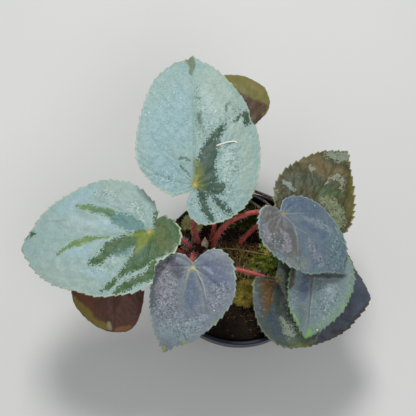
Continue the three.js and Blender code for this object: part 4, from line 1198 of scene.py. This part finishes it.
def heading_of(angle):
    """The direction across and along a blade at an angle from its midrib."""
    return np.array([math.sin(angle), math.cos(angle)])


def palm_veins(leaf, seed):
    """The main veins: a midrib, side veins that fan from the petiole, and branches that turn to the tip."""
    random = np.random.default_rng(seed)
    sides = [[(0, leaf["length"]), *leaf[side], leaf["notch"]] for side in ("left", "right")]
    margin = np.vstack([outline(side, 90)[0] for side in sides])
    angles = np.arctan2(margin[:, 0], margin[:, 1])
    reach = np.hypot(margin[:, 0], margin[:, 1])

    def edge(angle):
        return reach[np.argmin(np.abs((angles - angle + math.pi) % TURN - math.pi))]

    veins = [(np.array([(0, 0), (0, leaf["length"] * 0.5), (0, leaf["length"] * 0.97)]), 0.75, 1.0)]
    for side in (-1, 1):
        for degrees, strength in VEIN_FAN:
            angle = side * math.radians(degrees + random.uniform(-4, 4))
            end = edge(angle) * 0.95 * heading_of(angle)
            middle = edge(angle) * 0.5 * heading_of(angle + side * 0.2)
            veins.append((np.array([(0, 0), middle, end]), 0.6, strength))
        for share in MIDRIB_SIDES:
            start = np.array([0, leaf["length"] * (share + random.uniform(-0.02, 0.02))])
            angle = side * math.radians(random.uniform(36, 46))
            out = edge(math.atan2(side * leaf["half_width"] * 0.6, start[1] + 12)) * (1 - share) * 0.75
            end = start + out * heading_of(angle)
            middle = start + out * 0.5 * heading_of(angle * 1.25)
            veins.append((np.array([start, middle, end]), 0.4, 0.5))
        for degrees in FORKED:
            angle = side * math.radians(degrees)
            for share in FORK_SHARES:
                trunk = edge(angle) * share * heading_of(angle + side * 0.1)
                for fork in (-FORK_TURN, FORK_TURN):
                    end = trunk + edge(angle) * 0.22 * heading_of(angle + fork)
                    veins.append((np.array([trunk, (trunk + end) / 2, end]), 0.35, 0.32))
    return veins


def curve_through(points, count=10):
    start, middle, end = points
    pull = 2 * middle - (start + end) / 2
    t = np.linspace(0, 1, count)[:, None]
    return (1 - t) ** 2 * start + 2 * t * (1 - t) * pull + t**2 * end


def away_from(x, y, a, b):
    """Distance from the points to a segment, and the share of the way along it of the nearest spot."""
    run = b - a
    length = max(float(run @ run), 1e-6)
    share = np.clip(((x - a[0]) * run[0] + (y - a[1]) * run[1]) / length, 0, 1)
    return np.hypot(x - a[0] - share * run[0], y - a[1] - share * run[1]), share


def vein_marks(leaf, x, y, seed):
    mark = np.zeros_like(x)
    nearest = np.full_like(x, 99.0)
    for points, width, strength in palm_veins(leaf, seed):
        line = curve_through(points)
        for i in range(len(line) - 1):
            distance, share = away_from(x, y, line[i], line[i + 1])
            fade = 1 - 0.6 * (i + share) / (len(line) - 1)
            mark = np.maximum(mark, strength * fade * np.exp(-((distance / width) ** 2)))
            nearest = np.minimum(nearest, distance + 2.5 * (1 - strength))
    return mark, nearest


def stroke_mark(x, y, strokes, softness, seed, drift=1.0):
    """How deep each point lies in the strokes. drift is how far their edges wander."""
    flat = np.stack([x, y], 1)
    x = x + drift * (0.7 * wander(flat, 12, seed) + 0.3 * wander(flat, 5, seed + 1))
    y = y + drift * (0.7 * wander(flat, 12, seed + 2) + 0.3 * wander(flat, 5, seed + 3))
    mark = np.zeros_like(x)
    for stroke in strokes:
        stroke = np.array(stroke, dtype=float)
        for a, b in zip(stroke[:-1], stroke[1:]):
            distance, share = away_from(x, y, a[:2], b[:2])
            half = a[2] + (b[2] - a[2]) * share
            soft = min(softness, 0.6 + 0.6 * a[2])
            mark = np.maximum(mark, np.clip(0.5 + (half - distance) / (2 * soft), 0, 1))
    return mark


def build_blade(name, seed):
    leaf = LEAVES[name]
    columns, rows = FINE_GRID if name in ("back", "left") else SMALL_GRID
    blade, around, out = mapped_grid("leaf_" + name, columns, rows)
    bare, cut = toothed_margin(leaf, columns, seed)
    column = np.rint(around * columns).astype(int) % columns
    share = out**0.92
    inner = bare[column] * share[:, None]
    rim = (cut[column] - bare[column]) * (share**9)[:, None]
    x, y = (inner + rim).T
    vein, nearest = vein_marks(leaf, x, y, seed + 40)
    lift = -BLADE["groove"] * vein + BLADE["pucker"] * np.tanh(nearest / 3) * (1 - share**6)
    flat = np.stack([x, y], 1)
    lift += BLADE["wrinkle"] * (wander(flat, 8, seed + 80) + 0.5 * wander(flat, 3.5, seed + 81))
    move_points(blade, on_blade(leaf, x, y, lift))
    put_attribute(blade, "vein", vein)
    distance = (1 - share) * np.hypot(*bare[column].T) * 0.8
    put_attribute(blade, "margin", np.clip(1 - distance / 1.3, 0, 1))
    put_attribute(blade, "heart", np.exp(-((np.hypot(x, y) / 1.7) ** 2)))
    put_attribute(blade, "specks", stroke_mark(x, y, PAINT[name]["specks"], 3.5, seed + 60))
    for i, layer in enumerate(PAINT[name]["layers"]):
        if layer is not SPECKLE:
            softness, strokes = layer[1], layer[4]
            drift = 0.25 if softness < 0.8 else min(1.0, 0.45 + 0.2 * softness)
            put_attribute(blade, f"paint_{i}", stroke_mark(x, y, strokes, softness, seed + 60 + 5 * i, drift))
    weld(blade)
    normal = blade_frame(leaf)[3]
    face_towards(blade, normal)
    top_count = len(blade.data.vertices)
    apply_modifier(
        blade, "SOLIDIFY", thickness=BLADE["thickness"] * MM, offset=-1, material_offset=1, material_offset_rim=0
    )
    points = points_of(blade)
    ribs = attribute_of(blade, "vein")[top_count:]
    points[top_count:] -= normal * (BLADE["rib"] * ribs)[:, None]
    move_points(blade, points)
    underside = {"olive_blade": "#5e3a2c", "russet_blade": "#6b3226"}.get(leaf["slot"], "#6d2f31")
    finish_piece(blade, [leaf_top(name), leaf_underside(name, underside, "#8f9560")], ["blade_" + name])
    return cut


def build_hairs(name, slot, roots, directions, length, width, material, seed):
    """Short tapering hairs, each a three-sided spike."""
    random = np.random.default_rng(seed)
    select_only(None)
    bpy.ops.mesh.primitive_cone_add(vertices=3, radius1=width * MM, radius2=0, depth=MM, location=(0, 0, 0.5 * MM))
    hair = named("hair")
    bpy.ops.object.transform_apply(location=True)
    places = []
    for root, direction in zip(roots, directions):
        size = length * random.uniform(0.55, 1.25)
        places.append(facing(root, direction, random.uniform(0, TURN), (1, 1, size)))
    piece = copies(name, hair, places)
    drop(hair)
    finish_piece(piece, [material])


def build_petiole(name, skin, fuzz, seed):
    leaf = LEAVES[name]
    origin, _, _, normal = blade_frame(leaf)
    path = [*leaf["petiole"], tuple(origin - 0.9 * normal)]

    def radius(share):
        foot = 1 + 0.12 * max(0, 1 - share * 12)
        return leaf["radius"] * (1 - 0.18 * share) * foot * round_end((share - 0.93) / 0.07, 0.04)

    petiole, points = tube("stem_" + name, path, radius, 4, 64)
    finish_piece(petiole, [skin], ["petiole_" + name])

    random = np.random.default_rng(seed)
    ahead = np.gradient(points, axis=0)
    ahead /= np.linalg.norm(ahead, axis=1)[:, None]
    roots, directions = [], []
    for _ in range(leaf["hairs"]):
        i = int(random.uniform(0.02, 0.97) * (len(points) - 1))
        side = np.cross(ahead[i], random.normal(size=3))
        side /= np.linalg.norm(side)
        roots.append(points[i] + side * leaf["radius"] * 0.78)
        directions.append(side + ahead[i] * random.uniform(-0.25, 0.5) + random.normal(size=3) * 0.12)
    build_hairs("fuzz_" + name, "petiole", roots, directions, *PETIOLE_HAIR, fuzz, seed + 7)


def build_fringe(name, margin, material, seed):
    """Fine pale hairs around a blade's edge."""
    leaf = LEAVES[name]
    random = np.random.default_rng(seed)
    _, across, along, normal = blade_frame(leaf)
    count = int(len(margin) * EDGE_HAIR_SHARE)
    roots, directions = [], []
    for i in random.choice(len(margin) - 1, count, replace=False):
        point = margin[i]
        ahead = margin[(i + 1) % len(margin)] - margin[i - 1]
        outward = np.array([ahead[1], -ahead[0]]) / max(np.linalg.norm(ahead), 1e-6)
        roots.append(on_blade(leaf, point[0], point[1], -0.25))
        directions.append(
            across * outward[0] + along * outward[1] + normal * random.uniform(-0.2, 0.5) + random.normal(size=3) * 0.2
        )
    build_hairs("fringe_" + name, leaf["slot"], roots, directions, *EDGE_HAIR, material, seed + 3)


# Papery bracts, dry stalks, the runner, the dry leaf and the seedling
def build_stipule(name, seed):
    stipule = STIPULES[name]
    piece, around, up = mapped_grid("bract_" + name, 24, 34)
    side = around * 2 - 1
    heading, lean = math.radians(stipule["heading"]), math.radians(stipule["lean"])
    out = np.array([math.sin(heading), math.cos(heading), 0])
    across = np.array([math.cos(heading), -math.sin(heading), 0])
    way = out * math.sin(lean) + np.array([0, 0, 1]) * math.cos(lean)
    back = np.cross(across, way)
    width = stipule["width"] / 2 * np.sin(math.pi * np.clip(0.18 + up * 0.8, 0, 1)) ** 0.7
    curl = 1.2 * (side**2) * (0.3 + up) + 0.12 * np.sin(side * 9 + 2 * up) + 0.15 * np.sin(up * 7 + seed)
    height = (up * 1.08 - 0.08) * stipule["length"]
    flat = np.stack([side * 3, up * 8], 1)
    fray = np.where(up > 0.9, 0.35 * wander(flat, 1.2, seed), 0)
    points = (
        np.array(stipule["foot"])
        + (side * width)[:, None] * across
        + (height + fray)[:, None] * way
        + curl[:, None] * (back * np.sign(back @ -out or 1))
    )
    move_points(piece, points)
    weld(piece)
    apply_modifier(piece, "SOLIDIFY", thickness=0.28 * MM, offset=0)
    shade = stipule.get("shade", "#7a5238")
    skin = plain_finish("papery bract " + name, stipule["tint"], shade, "#efe6d2", 1.4, 0.6, 0.15)
    finish_piece(piece, [skin], ["stipule_" + name])


def build_stalk(name):
    stalk = STALKS[name]
    piece, _ = tube("stalk_" + name, stalk["path"], lambda share: stalk["radius"] * (1 - 0.25 * share), 4, 60)
    points = points_of(piece)
    move_points(piece, points + normals_of(piece) * (0.14 * wander(points, 2.4, 61))[:, None])
    bark = plain_finish("dry stalk " + name, stalk["tint"], "#2e2722", "#b0a394", 0.9, 0.8, 0.3)
    finish_piece(piece, [bark], ["dry_stalk_" + name])


def build_runner():
    def radius(share):
        return RUNNER["radius"] * (0.95 + 0.2 * math.sin(share * 40))

    piece, _ = tube("runner_thread", RUNNER["path"], radius, 3, 90)
    bark = plain_finish("dry runner", "#a5835c", "#6b4c2c", "#cdb48a", 1.2, 0.7, 0.15)
    finish_piece(piece, [bark], ["dry_runner"])


def build_dry_leaf():
    piece, across_share, along_share = mapped_grid("withered_leaf", 80, 50)
    heading, pitch = math.radians(DRY_LEAF["heading"]), math.radians(DRY_LEAF["pitch"])
    along = np.array([math.sin(heading) * math.cos(pitch), math.cos(heading) * math.cos(pitch), math.sin(pitch)])
    across = np.array([math.cos(heading), -math.sin(heading), 0])
    up = np.cross(across, along)
    side = across_share * 2 - 1
    width = DRY_LEAF["foot"] + DRY_LEAF["flare"] * along_share
    pleat = DRY_LEAF["pleat"] * np.sin(side * math.pi * 3.2 + 1.15) * along_share
    flat = np.stack([side * 6, along_share * 14], 1)
    reach = along_share * DRY_LEAF["length"] * (1 + 0.05 * wander(flat[:, :1], 3, 8))
    height = pleat + 0.3 * wander(flat, 4, 9) * along_share
    points = (side * width)[:, None] * across + reach[:, None] * along + (height + 0.1)[:, None] * up
    move_points(piece, np.array(DRY_LEAF["at"]) + points)
    weld(piece)
    apply_modifier(piece, "SOLIDIFY", thickness=0.45 * MM, offset=0)
    skin = plain_finish("withered leaf", "#5a4034", "#33211c", "#8a705c", 0.8, 0.75, 0.3)
    finish_piece(piece, [skin], ["dry_leaf"])


def build_seedling():
    piece, around, out = mapped_grid("seedling_leaf", 48, 16)
    angle = around * TURN
    radius = SEEDLING["radius"] * out * (1 + 0.05 * np.sin(angle * 7) * out)
    tilt = math.radians(SEEDLING["tilt"])
    x, y = radius * np.cos(angle), radius * np.sin(angle)
    z = 0.5 * out**2 + 0.12 * np.sin(3 * angle) * out
    back, up = y * math.cos(tilt) - z * math.sin(tilt), y * math.sin(tilt) + z * math.cos(tilt)
    top = np.array(SEEDLING["at"])
    move_points(piece, top + np.stack([x, back, up], 1))
    weld(piece)
    face_towards(piece, (0, 0, 1))
    apply_modifier(piece, "SOLIDIFY", thickness=0.45 * MM, offset=-1)
    skin = plain_finish("seedling skin", "#3a5a26", "#2a451f", "#577a3c", 1.0, 0.45, 0.2)
    finish_piece(piece, [skin], ["seedling"])
    path = [tuple(top - np.array(below)) for below in ((0, 0, SEEDLING["depth"]), (0.3, 0, 3), (0, 0, 0))]
    stem, _ = tube("seedling_stem", path, lambda share: SEEDLING["stem"], 3, 16)
    finish_piece(stem, [skin])


# Moss: a cushion of soil and old growth under hundreds of leafy shoots
def moss_shoot(leaflets, spread, height, length, width):
    """One shoot: narrow leaflets around a short stem, joined into one small shape."""
    parts = []
    for i in range(leaflets):
        angle = i * 2.4
        level = height * (i / leaflets) ** 0.8
        select_only(None)
        size = length * (1 - 0.35 * i / leaflets)
        bpy.ops.mesh.primitive_cone_add(
            vertices=3, radius1=width * MM, radius2=0, depth=size * MM, location=(0, 0, size / 2 * MM)
        )
        leaflet = named("leaflet")
        bpy.ops.object.transform_apply(location=True)
        steep = spread * (1 - 0.6 * i / leaflets)
        way = (math.cos(angle) * math.sin(steep), math.sin(angle) * math.sin(steep), math.cos(steep))
        points = points_of(leaflet)
        points[:, 1] *= 0.45
        place = facing((0, 0, level), way, 0.0)
        moved = np.hstack([points, np.ones((len(points), 1))]) @ place.T
        move_points(leaflet, moved[:, :3])
        parts.append(leaflet)
    select_only(parts[0])
    for leaflet in parts:
        leaflet.select_set(True)
    bpy.ops.object.join()
    return named("shoot")


def build_moss(name, shoot, tones, growth, seed):
    moss = MOSSES[name]
    select_only(None)
    bpy.ops.mesh.primitive_ico_sphere_add(subdivisions=5, radius=MM)
    cushion = named("moss_bed_" + name)
    unit = points_of(cushion)
    bumps = 1 - 0.06 + 0.07 * wander(unit, 0.8, seed) + 0.05 * wander(unit, 0.3, seed + 1)
    size, at = np.array(moss["size"]), np.array(moss["at"])
    move_points(cushion, at + unit * size * bumps[:, None] * MOSS_BED)
    bed = plain_finish("moss bed " + name, growth[0], "#1a140a", growth[1], 1.2, 0.9, 0.6)
    finish_piece(cushion, [bed], ["moss_" + name])

    random = np.random.default_rng(seed + 2)
    places = []
    while len(places) < moss["shoots"]:
        direction = random.normal(size=3)
        direction /= np.linalg.norm(direction)
        if direction[2] < moss["cap"]:
            continue
        root = at + direction * size * MOSS_ROOTS
        outward = direction / size
        outward /= np.linalg.norm(outward)
        lean = outward + random.normal(size=3) * 0.25
        scale = random.uniform(0.65, 1.15)
        places.append(facing(root, lean, random.uniform(0, TURN), (scale, scale, scale)))
    shoots = copies("moss_shoots_" + name, shoot, places)
    finish_piece(shoots, [varied_finish("moss " + name, *tones, roughness=0.6)], smooth_angle=20)


def build_painted_glints():
    """Painted highlights: small white specks where light glints on the leaves, and one white fibre that lies on the
    largest.
    """
    select_only(None)
    bpy.ops.mesh.primitive_uv_sphere_add(segments=10, ring_count=6, radius=MM)
    glint_shape = named("glint_bead")
    random = np.random.default_rng(77)
    places = []
    for name, spots in GLINT_SPOTS.items():
        _, _, _, normal = blade_frame(LEAVES[name])
        for x, y in spots:
            size = random.uniform(0.28, 0.5)
            at = on_blade(LEAVES[name], x, y, 0.22)
            places.append(facing(at, normal, random.uniform(0, TURN), (size, size * 0.8, size * 0.5)))
    specks = copies("painted_highlight_specks", glint_shape, places)
    drop(glint_shape)
    # Painted highlights: near-white glossy specks that stand in for glints of light
    highlight_finish = plain_finish("painted highlight speck", "#ffffff", "#e8efee", "#ffffff", 1.0, 0.2, 0.02, 0.6)
    finish_piece(specks, [highlight_finish])

    path = on_blade(LEAVES["back"], *np.array(WHITE_FIBRE).T)
    fibre, _ = tube("white_fibre", [tuple(point) for point in path], lambda share: 0.6 - 0.2 * share, 3, 40)
    finish_piece(fibre, [plain_finish("white fibre", "#f6f2ea", "#d8cfc2", "#ffffff", 1.0, 0.5, 0.05)])


# Building the plant
def build_plant():
    build_pot()
    build_soil()
    build_fibres()
    build_rhizome()
    skin = petiole_skin()
    fuzz = varied_finish("petiole hairs", "#c79a98", "#dcc3c2", "#f2eaee", 0.6)
    edge_hair = varied_finish("edge hairs", "#b9c9a4", "#cfdcc0", "#e3ead8", 0.6)
    for i, name in enumerate(LEAVES):
        margin = build_blade(name, 100 + i)
        build_fringe(name, margin, edge_hair, 300 + i)
        build_petiole(name, skin, fuzz, 500 + i)
    for i, name in enumerate(STIPULES):
        build_stipule(name, i + 1)
    for name in STALKS:
        build_stalk(name)
    build_runner()
    build_dry_leaf()
    build_seedling()
    leafy = moss_shoot(leaflets=9, spread=1.1, height=3.2, length=3.2, width=0.62)
    starry = moss_shoot(leaflets=9, spread=1.2, height=2.0, length=3.2, width=0.36)
    build_moss("green", leafy, ("#5d7a1c", "#94a23a", "#cbb968"), ("#2c3a10", "#4f6a1c"), 41)
    build_moss("gold", starry, ("#a08a36", "#c4b058", "#74872a"), ("#5a4a1c", "#7a6a2a"), 43)
    build_moss("left", starry, ("#d2cf78", "#ece8a4", "#b0ae5c"), ("#2c1d12", "#4a3520"), 45)
    build_moss("back", leafy, ("#35421a", "#545c26", "#74743c"), ("#1e2410", "#3a4018"), 47)
    drop(leafy, starry)
    build_painted_glints()


def build_studio():
    select_only(None)
    bpy.ops.mesh.primitive_plane_add(size=6)
    floor = named("studio_floor")
    material, p, shader = new_material("studio floor", 0.8, 0.1)
    tone = p.mix(p.span(p.noise(p.place(), 400, 2), 0.3, 0.7), colour("#dcdcda"), colour("#e2e2e0"))
    p.put(tone, shader.inputs["Base Color"])
    floor.data.materials.append(material)

    world = bpy.data.worlds.new("studio")
    bpy.context.scene.world = world
    world.use_nodes = True
    background = world.node_tree.nodes["Background"]
    background.inputs["Color"].default_value = (0.95, 0.98, 1.0, 1)
    background.inputs["Strength"].default_value = 0.3
    for name, at, size, power in LIGHTS:
        bpy.ops.object.light_add(type="AREA", location=at)
        light = bpy.context.object
        light.name = name
        light.data.size = size
        light.data.energy = power
        aim = Vector(LIT_SPOT) - Vector(at)
        light.rotation_euler = aim.to_track_quat("-Z", "Y").to_euler()

    bpy.ops.object.camera_add(location=CAMERA["at"], rotation=(math.radians(CAMERA["tilt"]), 0, 0))
    camera = bpy.context.object
    camera.data.lens = CAMERA["lens"]
    camera.data.sensor_width = 36
    camera.data.clip_start = 0.01
    bpy.context.scene.camera = camera
    bpy.context.scene.view_settings.view_transform = "Standard"


build_studio()
build_plant()
